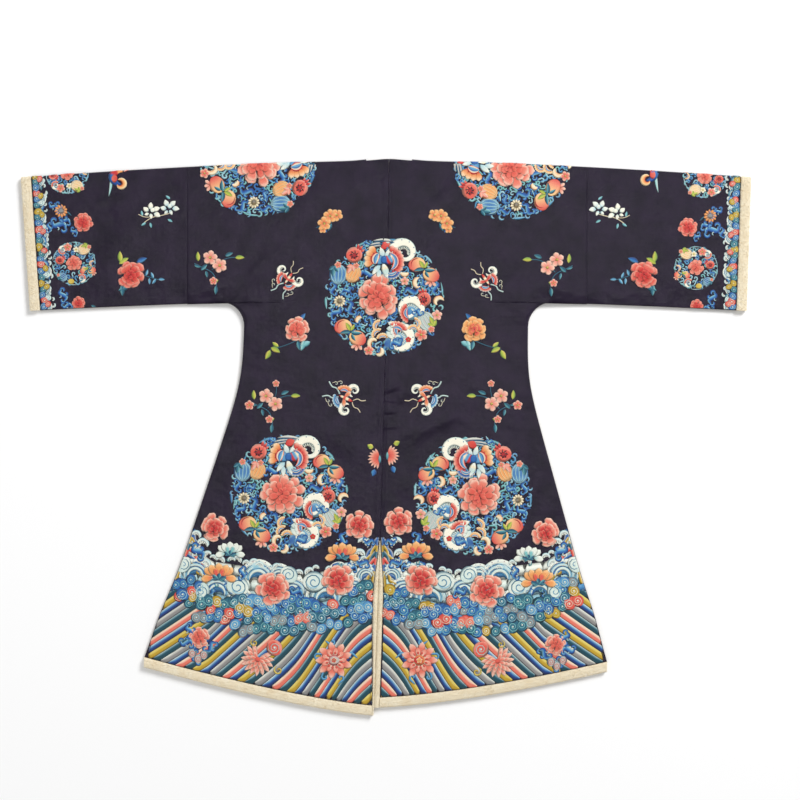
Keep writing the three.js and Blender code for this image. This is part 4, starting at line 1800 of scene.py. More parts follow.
    def melon(self, at: Place, skin: tuple[Silk, Silk], leafy: Dyes, layer: float = 2) -> None:
        """A ribbed melon of radius 1 under leaves, with a blossom.

        Args:
            at: Its place.
            skin: The skin's dark and pale colours.
            leafy: The leaves' colours.
            layer: Its layer.
        """
        self.disc(at, 1.0, 0.92, along(skin[1], skin[0], skin[1]), layer, columns=7)
        for k in range(-2, 3):
            bow = 0.36 * k
            path = np.array([[-0.9, bow * 0.3], [-0.5, bow * 0.85], [0, bow], [0.5, bow * 0.85],
                             [0.9, bow * 0.3]])
            self.work.ribbon(at, path, np.full(5, 0.055), along(skin[1], skin[1]), layer + 1, 0.2, 3)
        self.fan(at, ((0.75, 0.5, 170, 1.0, 0.5), (0.8, 0.4, 120, 0.7, 0.42), (0.8, 0.5, 215, 0.7, 0.4)),
                 across(*leafy), layer + 1.5)
        self.blossom(at.inner(0.95, 0.1, size=0.36), BLOOM_CORAL, layer + 2)

    # Butterflies.

    def fringe(self, at: Place, radius: float, sweep: float, tones: Dyes, layer: float = 4) -> None:
        """A wing's curved edge: scallops that pale outwards over bands of colour.

        Args:
            at: The middle of its curve.
            radius: Its outer radius.
            sweep: The angle that it spans, in degrees.
            tones: Its dark, middle and pale colours.
            layer: Its layer.
        """
        dark, middle, pale = tones
        count = max(4, round(abs(sweep) / 17))
        scallop = 1.5 * radius * 0.85 * math.radians(abs(sweep) / count)
        for k in range(count):
            root = at.inner(turn=sweep * (k + 0.5) / count).inner(0.6 * radius)
            self.petal(root, 0.44 * radius, scallop, along(dark, middle, pale), layer + 0.2 * (k % 2), 0.42,
                       rows=6)
        bands = striped(dark, pale, Silk.ROYAL, Silk.SKY, pale, dark)
        self.comma(at, 0.52 * radius, sweep, 0.46 * radius, bands, layer + 1, 0.0, 0.5, columns=9)

    def curled_wing(self, at: Place, layer: float = 2) -> None:
        """A pale dotted wing of radius 1 that winds in to a spiral end, with a fine comb along its inner side.

        Args:
            at: Its place.
            layer: Its layer.
        """
        t = np.linspace(0, 1, 26)
        angle = np.radians(430 * t - 40)
        reach = 0.66 * (1 - t) ** 0.8 + 0.1
        half = 0.045 + 0.28 * (1 - t) ** 1.15 * np.minimum(1, 6 * t)
        path = np.stack([reach * np.cos(angle), reach * np.sin(angle)], 1)
        tint = rimmed(Silk.MIST, Silk.IVORY, Silk.IVORY, Silk.WHITE, start=0.82)
        self.work.ribbon(at, path, half, tint, layer, 0.3, 6)
        for k in range(3, 15):
            root = at.inner(turn=math.degrees(angle[k])).inner(reach[k] - half[k] + 0.04, 0, 176)
            self.petal(root, 0.19, 0.07, along(Silk.MIST, Silk.IVORY), layer + 0.2, bend=0.4, rows=4, columns=3)
            if k % 2:
                spot = at.inner(turn=math.degrees(angle[k])).inner(reach[k] + 0.55 * half[k])
                self.disc(spot, 0.035, 0.035, along(Silk.TEAL, Silk.SKY), layer + 1.3, rows=4, columns=3)

    def butterfly(self, at: Place, warm: Dyes, cool: Dyes, layer: float = 2) -> None:
        """A butterfly of about radius 1 that heads along its +x, with curled wings and long streamers.

        Args:
            at: Its place.
            warm: The colours of its inner wings.
            cool: The colours of its lower wings.
            layer: Its layer.
        """
        cream = along(Silk.MIST, Silk.CREAM)
        for way in (1, -1):
            side = at.inner(turn=90 - 90 * way, flip=way < 0)
            self.curled_wing(side.inner(0.3, 0.64, 60, 0.52, True), layer)
            self.fringe(side.inner(-0.16, 0.16, 70 + 15 * way), 0.56, 105, cool if way > 0 else warm, layer + 1)
            self.petal(side.inner(-0.06, 0.04, 66), 0.5, 0.26, rimmed(Silk.BLUSH, warm[0], warm[1]),
                       layer + 2.6, 0.5)
            self.stem(side.inner(), ((0.48, 0.05), (0.72, 0.34), (0.92, 0.2), (1.18, 0.4)), 0.05, Silk.CREAM)
            self.stem(side.inner(), ((-0.4, 0.08), (-0.74, 0.4), (-0.96, 0.22), (-1.3, 0.5)), 0.085, Silk.MIST)
            for x, y in ((-0.62, 0.72), (-0.86, 0.56)):
                self.curl(side.inner(x, y, 200), 0.13, 0.9, 0.04, cream, layer, tail=0.16)
        body = banded(Silk.RED, Silk.CREAM, Silk.CORAL, Silk.CREAM, Silk.CORAL, Silk.RED)
        self.petal(at.inner(-0.42), 0.92, 0.2, body, layer + 4, belly=0.5, rows=12)

    # Water and clouds.

    def coil(self, at: Place, tones: Dyes, layer: float = 3, double: bool = False) -> None:
        """A cloud coil of radius 1, or a double one, ringed by pale lines about white eyes.

        Args:
            at: Its place.
            tones: Its dark, middle and pale colours.
            layer: Its layer.
            double: Whether it has two eyes.
        """
        dark, middle, pale = tones
        line = along(pale, pale)
        eyes = (-0.7, 0.7) if double else (0.0,)
        if double:
            self.disc(at.inner(0, 0.28), 0.9, 0.95, rimmed(dark, middle, middle, start=0.7), layer - 0.2, 0.2,
                      rows=7)
        for k, x in enumerate(eyes):
            eye = at.inner(x, 0, 60, flip=k > 0)
            self.disc(eye, 1.0, 0.95, rimmed(dark, middle, middle, start=0.72), layer, 0.2)
            self.curl(eye, 0.8, 1.9, 0.13, line, layer + 0.9, rows=16)
            self.disc(eye, 0.15, 0.14, along(Silk.WHITE, Silk.WHITE), layer + 1.4, rows=4, columns=3)

    def roll(self, at: Place, layer: float = 2) -> None:
        """A rolled wave of radius 1: a white spiral with teal lines and a blue shadow.

        Args:
            at: Its place.
            layer: Its layer.
        """
        self.disc(at, 1.0, 0.96, rimmed(Silk.TEAL, Silk.WHITE, Silk.MIST, start=0.9), layer, 0.5, rows=12,
                  columns=7)
        self.comma(at.inner(turn=150), 0.7, 230, 0.22, across(Silk.WHITE, Silk.ICE, Silk.SKY), layer + 0.8, 0.4)
        self.curl(at, 0.8, 1.7, 0.1, along(Silk.SKY, Silk.TEAL), layer + 1.4, rows=18)

    def arch(self, at: Place, layer: float = 2) -> None:
        """Nested arches of a heaving wave, of radius 1: white foam bands with thin blue lines between.

        Args:
            at: Their place.
            layer: Their layer.
        """
        line = along(Silk.TEAL, Silk.BLUE)
        for k, (reach, width, tint) in enumerate((
            (0.5, 1.0, across(Silk.WHITE, Silk.ICE, Silk.SKY, Silk.BLUE)),
            (0.88, 0.24, across(Silk.WHITE, Silk.WHITE)),
            (0.74, 0.06, line), (0.63, 0.16, across(Silk.ICE, Silk.WHITE)), (0.53, 0.05, line),
            (0.42, 0.17, across(Silk.MIST, Silk.WHITE)), (0.3, 0.06, line),
        )):
            self.comma(at.inner(turn=-14), reach, 208, width, tint, layer + 0.3 * k, 0, 0.5, rows=15, columns=4)
        for k in range(9):
            angle = math.radians(8 + 20 * k)
            self.disc(at.inner(0.9 * math.cos(angle), 0.9 * math.sin(angle)), 0.03, 0.03,
                      along(Silk.SKY, Silk.CORAL if k % 2 else Silk.SKY), layer + 2.2, rows=4, columns=3)

    def crest(self, at: Place, layer: float = 2.5) -> None:
        """A claw of foam of radius 1 that curls over, with teeth along its inner side.

        Args:
            at: Its place.
            layer: Its layer.
        """
        self.comma(at, 0.75, 200, 0.56, across(Silk.ICE, Silk.WHITE, Silk.IVORY), layer, 0.35, 0.3)
        self.comma(at, 0.66, 150, 0.07, along(Silk.TEAL, Silk.SKY), layer + 0.6, 0.3, rows=8, columns=3)
        for k in range(4):
            root = at.inner(turn=60 + 36 * k).inner(0.58 - 0.05 * k, 0, 170)
            self.petal(root, 0.34, 0.2, along(Silk.WHITE, Silk.WHITE), layer + 0.4, bend=0.5, rows=5, columns=3)


def on_half(half: Half, out: float, y: float, turn: float = 0, size: float = 1, flip: bool = False) -> Place:
    """A place on a half of the coat, mirrored so that +x leads away from the middle.

    Args:
        half: The half.
        out: How far from the middle line it is.
        y: Its y in the row frame.
        turn: Its turn, as seen on the right half.
        size: Its scale.
        flip: Whether it is mirrored as seen on the right half.

    Returns:
        The place.
    """
    x = float(CoatCut().middle(y)) + half.value * out
    if half is Half.RIGHT:
        return Place(x, y, turn, size, flip)
    return Place(x, y, -turn, size, not flip)


@dataclass(frozen=True)
class Roundel:
    """One round field of peony, fruit, butterflies and swirling leaves."""

    name: str
    place: Place
    seed: int
    tendril_size: float = 0.056

    TAKEN = (
        (-0.10, 0.0, 0.35), (0.0, 0.58, 0.19), (0.33, 0.74, 0.25), (-0.49, 0.69, 0.14), (-0.75, 0.38, 0.17),
        (-0.51, 0.38, 0.15), (0.52, 0.5, 0.14), (0.79, 0.4, 0.14), (0.65, -0.04, 0.13), (0.9, -0.07, 0.1),
        (0.4, -0.22, 0.22), (0.7, -0.4, 0.16), (0.61, -0.62, 0.11), (0.25, -0.72, 0.23),
        (0.16, -0.46, 0.14), (-0.68, -0.47, 0.14), (-0.42, -0.69, 0.15), (-0.73, -0.07, 0.1),
        (-0.25, -0.88, 0.08), (-0.08, -0.6, 0.12), (-0.28, 0.38, 0.11), (0.45, 0.08, 0.12),
        (0.9, 0.14, 0.08), (-0.55, -0.18, 0.12), (-0.8, -0.28, 0.1), (-0.86, 0.11, 0.1), (-0.19, -0.4, 0.1),
    )

    def _flowers(self, draw: Motifs) -> None:
        """Stitches the flowers and fruit.

        Args:
            draw: The motifs that stitch them.
        """
        at = self.place.inner
        draw.peony(at(-0.10, 0.0, 8, 0.37), BLOOM_CORAL, self.seed, petals=10)
        draw.rosette(at(-0.49, 0.69, 10, 0.135))
        draw.rosette(at(0.65, -0.04, 60, 0.125))
        draw.melon(at(-0.75, 0.37, 86, 0.165), (Silk.BLUE, Silk.ICE), LEAF_TEAL)
        draw.melon(at(-0.51, 0.38, 62, 0.15), (Silk.ORANGE, Silk.APRICOT), BLOOM_PINK)
        draw.melon(at(0.69, -0.4, -62, 0.165), (Silk.ASH, Silk.MIST), LEAF_LIME)
        draw.peach_pair(at(0.66, 0.45, -6, 0.235))
        draw.peach_pair(at(-0.55, -0.58, -8, 0.245))
        draw.aster(at(-0.73, -0.07, 0, 0.1), Silk.CREAM, Silk.OLIVE)
        draw.blossom(at(-0.25, -0.88, 0, 0.085), BLOOM_CORAL)
        draw.blossom(at(0.61, -0.62, 20, 0.11), BLOOM_CORAL)
        draw.blossom(at(0.87, -0.3, 0, 0.09), BLOOM_PINK)
        draw.blossom(at(0.34, 0.26, 0, 0.075), BLOOM_PINK)

    def _butterflies(self, draw: Motifs) -> None:
        """Stitches the butterflies.

        Args:
            draw: The motifs that stitch them.
        """
        at = self.place.inner
        warm = (Silk.RED, Silk.CORAL, Silk.BLUSH)
        draw.curled_wing(at(0.33, 0.72, 0, 0.3, True))
        draw.fringe(at(0.06, 0.58, -70), 0.27, 150, warm, 4)
        draw.fringe(at(0.04, 0.58, 132), 0.36, 62, (Silk.RED, Silk.ORANGE, Silk.CREAM), 4.5)
        draw.petal(at(0.02, 0.58, 165), 0.2, 0.17, along(Silk.ROYAL, Silk.SKY, Silk.RED), 5)
        draw.petal(at(-0.01, 0.56, 30), 0.22, 0.17, banded(Silk.ROYAL, Silk.RED, Silk.SKY, Silk.CREAM), 5,
                   rows=10)
        draw.fan(at(-0.02, 0.62),
                 ((0, 0.02, 96, 0.18, 0.1), (0.05, 0.02, 66, 0.15, 0.08), (-0.04, -0.1, 222, 0.2, 0.1),
                  (-0.06, -0.16, 262, 0.17, 0.09)), along(Silk.ICE, Silk.IVORY), 3.6)
        draw.fan(at(0.04, -0.52), ((0, 0, -8, 0.2, 0.12), (0, -0.05, -50, 0.18, 0.1)),
                 along(Silk.MIST, Silk.IVORY), 3)
        draw.fringe(at(0.12, 0.46, -150), 0.17, 130, (Silk.ROYAL, Silk.BLUE, Silk.CREAM), 4.4)
        draw.petal(at(-0.02, 0.56, -72), 0.26, 0.12, banded(Silk.WHITE, Silk.CREAM, Silk.MIST, Silk.WHITE), 4.8)
        draw.disc(at(0.0, 0.61), 0.055, 0.07, along(Silk.ROYAL, Silk.BLUE, Silk.ROYAL), 6.6)
        for k in range(5):
            grey = across(Silk.GREY, Silk.ASH, Silk.WHITE) if k % 2 == 0 else across(Silk.NAVY, Silk.TEAL)
            draw.petal(at(-0.3 + 0.03 * k, 0.78 + 0.036 * k, 26 - 4 * k), 0.4, 0.055, grey, 1, bend=-0.25,
                       columns=3)
        draw.petal(at(-0.05, 0.8, 30), 0.17, 0.14, along(Silk.RED, Silk.CORAL), 2)
        draw.disc(at(0.46, -0.25, 20), 0.18, 0.13, rimmed(Silk.ICE, Silk.BLUE, Silk.SKY, start=0.4), 1.4)
        draw.curled_wing(at(0.42, -0.22, 10, 0.29))
        draw.scroll_leaf(at(0.56, -0.26, -10, 0.1), 3)
        draw.fringe(at(0.44, -0.26, 120), 0.18, 130, warm, 4.4)
        draw.disc(at(0.22, -0.74, 10), 0.22, 0.16, rimmed(Silk.ICE, Silk.ROYAL, Silk.SKY, start=0.4), 1.4)
        draw.curled_wing(at(0.25, -0.7, -90, 0.31, True))
        draw.scroll_leaf(at(0.2, -0.77, 30, 0.13), 3.4)
        draw.fringe(at(0.2, -0.6, 20), 0.2, 100, warm, 4.4)
        draw.fringe(at(0.3, -0.55, 130), 0.2, 90, (Silk.CORAL, Silk.WHITE, Silk.MIST), 4)
        draw.petal(at(0.06, -0.42, -20), 0.24, 0.12, banded(Silk.WHITE, Silk.CREAM, Silk.WHITE, Silk.GREY), 4.4)
        draw.blossom(at(0.4, -0.7, 0, 0.05), (Silk.RED, Silk.RED, Silk.CORAL), 5)
        for x, y, turn in ((-0.08, -0.48, 80), (-0.1, -0.62, 60), (0.5, -0.44, -60), (-0.02, -0.7, 20),
                           (0.48, -0.56, 10)):
            draw.fringe(at(x, y, turn), 0.11, 150, (Silk.ORANGE, Silk.APRICOT, Silk.CREAM), 2.4)

    def _leaves(self, draw: Motifs) -> None:
        """Stitches the swirling leaves and the scrolls between the flowers.

        Args:
            draw: The motifs that stitch them.
        """
        at = self.place.inner
        swirls = (
            (-0.28, 0.38, 20, 0.15), (0.45, 0.1, 200, 0.15), (0.85, 0.15, 100, 0.13),
            (-0.55, -0.18, 120, 0.15), (-0.79, -0.26, 60, 0.14), (-0.83, 0.13, 100, 0.12),
            (-0.19, -0.4, 160, 0.14), (0.76, -0.56, 300, 0.09), (0.45, -0.82, 30, 0.1),
            (-0.04, -0.86, 20, 0.09), (-0.78, -0.46, 110, 0.08), (0.86, 0.34, 100, 0.07),
            (-0.28, 0.88, 20, 0.08), (0.04, 0.38, 150, 0.09), (0.12, -0.36, 20, 0.09),
            (-0.62, 0.1, 30, 0.1), (-0.42, -0.34, 70, 0.1), (0.64, 0.24, 140, 0.09),
        )
        for x, y, turn, size in swirls:
            draw.scroll_leaf(at(x, y, turn, size))
        hooks = ((0.9, -0.09, 20, 0.09, 220), (0.58, 0.22, 90, 0.1, 200), (0.36, 0.44, 200, 0.1, 120),
                 (-0.16, -0.76, 250, 0.1, -210), (-0.1, -0.9, 60, 0.08, -190), (-0.4, -0.4, 60, 0.07, 160))
        for x, y, turn, radius, sweep in hooks:
            draw.comma(at(x, y, turn), radius, sweep, 0.085, across(Silk.ORANGE, Silk.CREAM, Silk.CREAM), 1.6)

    def _ground_curls(self, draw: Motifs) -> None:
        """Fills what is left with pale curls, and closes the field with a ring of smaller ones.

        Args:
            draw: The motifs that stitch them.
        """
        dice = random.Random(self.seed)
        spots: list[tuple[float, float, float]] = list(self.TAKEN)
        tones = (Silk.AQUA, Silk.ICE, Silk.SKY, Silk.AQUA, Silk.SKY, Silk.BLUE)
        for _ in range(6000):
            x, y = dice.uniform(-0.9, 0.9), dice.uniform(-0.9, 0.9)
            size = self.tendril_size * dice.uniform(0.6, 1.15)
            if math.hypot(x, y) > 0.9 or any(
                    math.hypot(x - a, y - b) < 0.86 * r + 0.62 * size for a, b, r in spots):
                continue
            spots.append((x, y, size * 0.8))
            draw.tendril(self.place.inner(x, y, dice.uniform(0, 360), size, dice.random() < 0.5),
                         dice.choice(tones))
        for k in range(40):
            rim = self.place.inner(turn=9 * k + dice.uniform(-2, 2))
            tone = dice.choice(tones)
            if k % 4 == 0:
                draw.comma(rim, dice.uniform(0.94, 0.97), dice.uniform(8, 14), dice.uniform(0.03, 0.055),
                           across(Silk.TEAL, tone, Silk.ICE), 0.4, 0.0, 0.4, rows=6, columns=3)
            spot = rim.inner(dice.uniform(0.9, 0.945), 0.0, dice.uniform(0, 360), 1, dice.random() < 0.5)
            draw.comma(spot, dice.uniform(0.035, 0.05), 250, 0.035, across(tone, Silk.ICE), 0.5, 0.3, rows=8,
                       columns=3)

    def build(self, ground: Ground) -> bpy.types.Object:
        """Stitches the roundel.

        Args:
            ground: The satin.

        Returns:
            Its object.
        """
        work = Needlework(self.name, ground)
        draw = Motifs(work)
        self._ground_curls(draw)
        self._leaves(draw)
        self._flowers(draw)
        self._butterflies(draw)
        return work.build()


@dataclass(frozen=True)
class SmallRoundel:
    """One of the small round fields near the cuffs."""

    name: str
    place: Place
    seed: int

    def build(self, ground: Ground) -> bpy.types.Object:
        """Stitches the roundel.

        Args:
            ground: The satin.

        Returns:
            Its object.
        """
        work = Needlework(self.name, ground)
        draw = Motifs(work)
        at = self.place.inner
        dice = random.Random(self.seed)
        for k in range(32):
            rim = self.place.inner(turn=11.25 * k + dice.uniform(-2, 2))
            tint = across(dice.choice((Silk.TEAL, Silk.SKY, Silk.AQUA)), Silk.ICE)
            spot = rim.inner(dice.uniform(0.86, 0.9), 0.0, dice.uniform(0, 360), 1, dice.random() < 0.5)
            draw.comma(spot, 0.09, 240, 0.08, tint, 0.4, 0.3, rows=7, columns=3)
        for k in range(32):
            reach = 0.46 + 0.17 * (k % 3)
            angle = k * 11.25 + dice.uniform(-5, 5)
            spot = at(reach * math.cos(math.radians(angle)), reach * math.sin(math.radians(angle)), angle, 0.1)
            draw.tendril(spot, dice.choice((Silk.AQUA, Silk.SKY, Silk.ICE)))
        swirls = ((0.74, 0.1, 100), (-0.62, 0.42, 20), (-0.2, -0.66, 180), (0.42, -0.6, 300),
                  (-0.72, -0.2, 240), (-0.02, 0.5, 60), (0.36, 0.36, 200), (-0.4, 0.3, 330), (0.44, -0.2, 90))
        for x, y, turn in swirls:
            draw.scroll_leaf(at(x, y, turn, 0.17))
        draw.peony(at(0.0, 0.02, 0, 0.36), (Silk.CORAL, Silk.SALMON, Silk.PINK), self.seed)
        for k in range(10):
            rim = self.place.inner(turn=36 * k + dice.uniform(-4, 4))
            draw.comma(rim, 0.95, 30, 0.045, across(Silk.TEAL, Silk.ICE, Silk.CREAM), 0.2, 0.0, 0.4, rows=8,
                       columns=3)
        draw.melon(at(0.44, 0.62, 20, 0.28), (Silk.APRICOT, Silk.CREAM), LEAF_LIME)
        draw.melon(at(-0.5, -0.6, 150, 0.22), (Silk.ROYAL, Silk.ICE), LEAF_TEAL)
        draw.disc(at(-0.12, -0.8), 0.14, 0.13, along(Silk.LEMON, Silk.OCHRE), 2.4)
        draw.peach_pair(at(0.62, -0.3, 30, 0.3))
        draw.rosette(at(-0.62, 0.14, 0, 0.2))
        draw.blossom(at(-0.28, 0.72, 0, 0.2), BLOOM_CORAL)
        draw.blossom(at(0.1, 0.62, 0, 0.14), BLOOM_CREAM)
        for x, y, turn in ((-0.5, 0.6, 100), (0.34, -0.66, -70)):
            draw.curled_wing(at(x, y, turn, 0.22))
            draw.fringe(at(x, y, turn + 60), 0.2, 150, (Silk.RED, Silk.CORAL, Silk.CREAM), 4)
        draw.fringe(at(0.82, 0.0, 60), 0.14, 200, (Silk.ORANGE, Silk.APRICOT, Silk.CREAM), 3)
        return work.build()


@dataclass(frozen=True)
class Sprays:
    """The loose flowers and butterflies of one half."""

    name: str
    half: Half
    magnolia: tuple[float, float]
    red_peony: tuple[float, float]
    plum: tuple[float, float]
    fold_butterfly: tuple[float, float]
    cuff_peony: tuple[float, float]
    cuff_aster: tuple[float, float]
    cuff_lower: tuple[float, float]
    pale_blossoms: tuple[float, float]
    upper_butterfly: tuple[float, float]
    warm_flower: tuple[float, float]
    low_plum: tuple[float, float]
    low_butterfly: tuple[float, float]
    fan: tuple[float, float]

    def _at(self, spot: tuple[float, float]) -> Place:
        """A spray's place, from its x and y in the row frame."""
        flip = self.half is Half.LEFT
        return Place(spot[0], spot[1], 0, 1, flip)

    def _sleeve(self, draw: Motifs) -> None:
        """Stitches the sleeve's sprays.

        Args:
            draw: The motifs that stitch them.
        """
        at = self._at(self.magnolia).inner
        draw.stem(at(), ((-22, -8), (0, -14), (20, -16), (38, -30)), 2, Silk.CREAM)
        draw.stem(at(), ((20, -16), (38, -18), (52, -10)), 1.7, Silk.CREAM)
        petals = ((-8, 2, 178, 17, 13), (-3, 7, 128, 18, 13), (3, 7, 62, 17, 13), (6, 1, 8, 15, 12),
                  (-1, -2, 232, 13, 9), (-1, 2, 96, 12, 12), (3, -3, -52, 11, 8))
        draw.fan(at(-21, 2), petals, along(Silk.ICE, Silk.WHITE, Silk.WHITE), 1.6)
        draw.fan(at(23, -6, 24), petals, along(Silk.MIST, Silk.IVORY, Silk.WHITE), 1.8)
        for x, y, turn in ((-24, 27, 30), (-18, -22, 200), (24, -30, 250), (34, -30, -40), (42, -14, 70)):
            draw.leaf(at(x, y, turn), 13, 6.5, (Silk.TEAL, Silk.AQUA, Silk.ICE))
        at = self._at(self.red_peony).inner
        for x, y, turn, tones in ((24, 26, 78, LEAF_LIME), (28, 22, 140, LEAF_LIME), (-14, 26, 150, LEAF_BLUE),
                                  (22, -28, -100, LEAF_TEAL), (6, -32, -30, LEAF_TEAL)):
            draw.leaf(at(x, y, turn), 26, 13, tones)
        draw.stem(at(), ((-24, -2), (-44, -10), (-66, -16)), 2, Silk.TEAL)
        for x, y, turn in ((-36, -6, 100), (-44, -12, -100), (-54, -12, 60), (-60, -14, -60), (-66, -15, 175)):
            draw.leaf(at(x, y, turn), 15, 7.5, (Silk.DEEP_TEAL, Silk.SKY, Silk.ICE))
        draw.peony(at(0, -4, 0, 35), BLOOM_RED, 21)
        self._plum(draw, self._at(self.plum), 1.0, False)
        at = self._at(self.fold_butterfly).inner
        wing = banded(Silk.ROYAL, Silk.BLUE, Silk.RED, Silk.ORANGE)
        draw.comma(at(-6, 14, -100), 20, 230, 20, wing, 2, 0.4, rows=14)
        draw.comma(at(-8, -5, 60), 12, 290, 13, across(Silk.CREAM, Silk.APRICOT, Silk.ORANGE, Silk.RED), 3,
                   0.4, rows=14)
        draw.disc(at(6, 8), 7, 10, along(Silk.RED, Silk.SALMON), 3.4)
        draw.petal(at(14, 26, -95), 60, 7, across(Silk.AQUA, Silk.MIST), 1, bend=0.18)
        draw.petal(at(-16, 24, 130), 26, 8, across(Silk.BLUSH, Silk.SALMON), 1, bend=0.3)
        draw.stem(at(), ((-4, 26), (-24, 34), (-44, 32)), 1.5, Silk.CREAM)
        self._cuff(draw)

    def _cuff(self, draw: Motifs) -> None:
        """Stitches the sprays between the cuff's small roundels.

        Args:
            draw: The motifs that stitch them.
        """
        at = self._at(self.cuff_peony).inner
        draw.peony(at(0, -2, 0, 24), (Silk.RED, Silk.CORAL, Silk.PINK), 8)
        for x, y, turn, size in ((58, -8, 35, 24), (44, 2, 30, 17), (60, 34, 80, 15), (22, -24, 60, 13),
                                 (82, -14, 100, 14)):
            draw.scroll_leaf(at(x, y, turn, size), 1)
        at = self._at(self.cuff_aster).inner
        draw.aster(at(-2, 0, 0, 16), Silk.ORANGE, Silk.GREY)
        draw.scroll_leaf(at(16, 10, 40, 15), 1)
        draw.tendril(at(-16, -8, 200, 6), Silk.TEAL)
        at = self._at(self.cuff_lower).inner
        draw.peony(at(-8, -8, 0, 18), BLOOM_RED, 12)
        draw.scroll_leaf(at(30, 12, 80, 19), 1)
        draw.scroll_leaf(at(20, -14, 10, 15), 1)
        draw.leaf(at(-38, -12, 200), 14, 6, LEAF_TEAL)

    def _plum(self, draw: Motifs, place: Place, size: float, low: bool) -> None:
        """Stitches a plum spray.

        Args:
            draw: The motifs that stitch it.
            place: The spray's place.
            size: Its size.
            low: Whether it is the longer one, low on the body.
        """
        at = place.inner(size=size).inner
        draw.stem(at(), ((50, -4), (26, -16), (0, -26), (-4, -62)), 2.2, Silk.TEAL)
        draw.stem(at(), ((8, -20), (-24, 12), (-58, 10)), 2.2, Silk.TEAL)
        tones = (LEAF_LIME, LEAF_TEAL, LEAF_TEAL, LEAF_LIME, LEAF_TEAL, LEAF_LIME, LEAF_TEAL, LEAF_TEAL)
        spots = ((40, 2, 78, 22), (50, -8, 190, 16), (-24, 14, 150, 20), (-48, 10, 172, 22), (34, -20, 130, 20),
                 (-8, -44, -28, 18), (-2, -58, -95, 20), (22, -22, -110, 16))
        for tone, (x, y, turn, length) in zip(tones, spots):
            draw.leaf(at(x, y, turn), length, length * 0.5, tone)
        draw.blossom(at(12, 10, 10, 18), BLOOM_PINK)
        draw.blossom(at(-11, -9, 50, 18), BLOOM_PINK)
        draw.blossom(at(4, -46, 0, 10), BLOOM_CORAL)
        if low:
            draw.blossom(at(52, -12, 0, 12), BLOOM_CORAL)
            draw.blossom(at(-12, 40, 0, 9), BLOOM_CORAL)
            draw.stem(at(), ((-10, 8), (-14, 24), (-12, 36)), 1.8, Silk.TEAL)

    def _body(self, draw: Motifs) -> None:
        """Stitches the body's sprays.

        Args:
            draw: The motifs that stitch them.
        """
        at = self._at(self.pale_blossoms).inner
        draw.leaf(at(24, -14, 215), 22, 13, LEAF_BLUE)
        draw.leaf(at(-26, 2, 20), 20, 11, (Silk.NAVY, Silk.SKY, Silk.ICE))
        draw.leaf(at(-4, -8, -70), 20, 8, LEAF_TEAL)
        draw.stem(at(), ((34, -18), (14, -12), (-16, 0)), 2, Silk.TEAL)
        for x, y, size in ((14, -8, 17), (0, 10, 17), (-16, 12, 15), (18, -22, 10)):
            draw.blossom(at(x, y, 20 * x, size), BLOOM_ORANGE)
        at = self._at(self.upper_butterfly).inner
        draw.butterfly(at(0, 0, 125, 36), (Silk.RED, Silk.CORAL, Silk.BLUSH),
                       (Silk.RED, Silk.SALMON, Silk.MIST))
        at = self._at(self.warm_flower).inner
        draw.stem(at(), ((-10, -20), (24, -36), (60, -44)), 2, Silk.TEAL)
        for x, y, turn, length, tone in ((58, -40, -160, 24, LEAF_LIME), (60, -46, -70, 24, LEAF_LIME),
                                         (40, -38, 30, 18, LEAF_LIME), (-6, -24, -110, 22, LEAF_TEAL),
                                         (-22, -22, -80, 26, (Silk.TEAL, Silk.AQUA, Silk.MIST)),
                                         (-36, -26, -30, 26, (Silk.TEAL, Silk.AQUA, Silk.ICE)),
                                         (-12, 26, 120, 20, LEAF_BLUE)):
            draw.leaf(at(x, y, turn), length, length * 0.55, tone)
        draw.peony(at(-4, 4, 0, 32), BLOOM_ORANGE if self.half is Half.RIGHT else BLOOM_CORAL, 33)
        self._plum(draw, self._at(self.low_plum), 1.0, True)
        at = self._at(self.low_butterfly).inner
        draw.butterfly(at(0, 0, 205, 40), (Silk.CORAL, Silk.ORANGE, Silk.BLUSH),
                       (Silk.ROYAL, Silk.SKY, Silk.WHITE))
        at = self._at(self.fan).inner
        for k in range(9):
            tint = along(Silk.RED, Silk.SALMON, Silk.BLUSH)
            draw.petal(at(-12, 4, -76 + 19 * k), 27 - 0.5 * abs(k - 4), 6.5, tint, 1 + 0.2 * (k % 2),
                       belly=0.45, bend=-0.1)
        draw.petal(at(-14, -8, 90), 20, 7, along(Silk.TEAL, Silk.AQUA), 2.6)
        draw.leaf(at(2, 30, 20), 15, 13, LEAF_LIME)
        draw.leaf(at(12, 28, 150), 12, 9, LEAF_LIME)
        draw.leaf(at(-2, -22, -80), 17, 14, LEAF_BLUE)

    def build(self, ground: Ground) -> bpy.types.Object:
        """Stitches the half's sprays.

        Args:
            ground: The satin.

        Returns:
            Their object.
        """
        work = Needlework(self.name, ground)
        draw = Motifs(work)
        self._sleeve(draw)
        self._body(draw)
        return work.build()


class Tone(Enum):
    """The tones of the hem's stripes, from their lower edge to their upper edge."""

    BLUE = (Silk.NAVY, Silk.NAVY, Silk.ROYAL, Silk.SKY, Silk.WHITE)
    OCHRE = (Silk.OLIVE, Silk.OCHRE, Silk.OCHRE, Silk.LEMON, Silk.LEMON)
    TEAL = (Silk.DEEP_TEAL, Silk.DEEP_TEAL, Silk.DEEP_TEAL, Silk.TEAL, Silk.MIST)
    SALMON = (Silk.CORAL, Silk.SALMON, Silk.SALMON, Silk.BLUSH, Silk.CREAM)
    GREY = (Silk.SLATE, Silk.GREY, Silk.GREY, Silk.ASH, Silk.WHITE)


Line = tuple[tuple[float, ...], tuple[float, ...]]


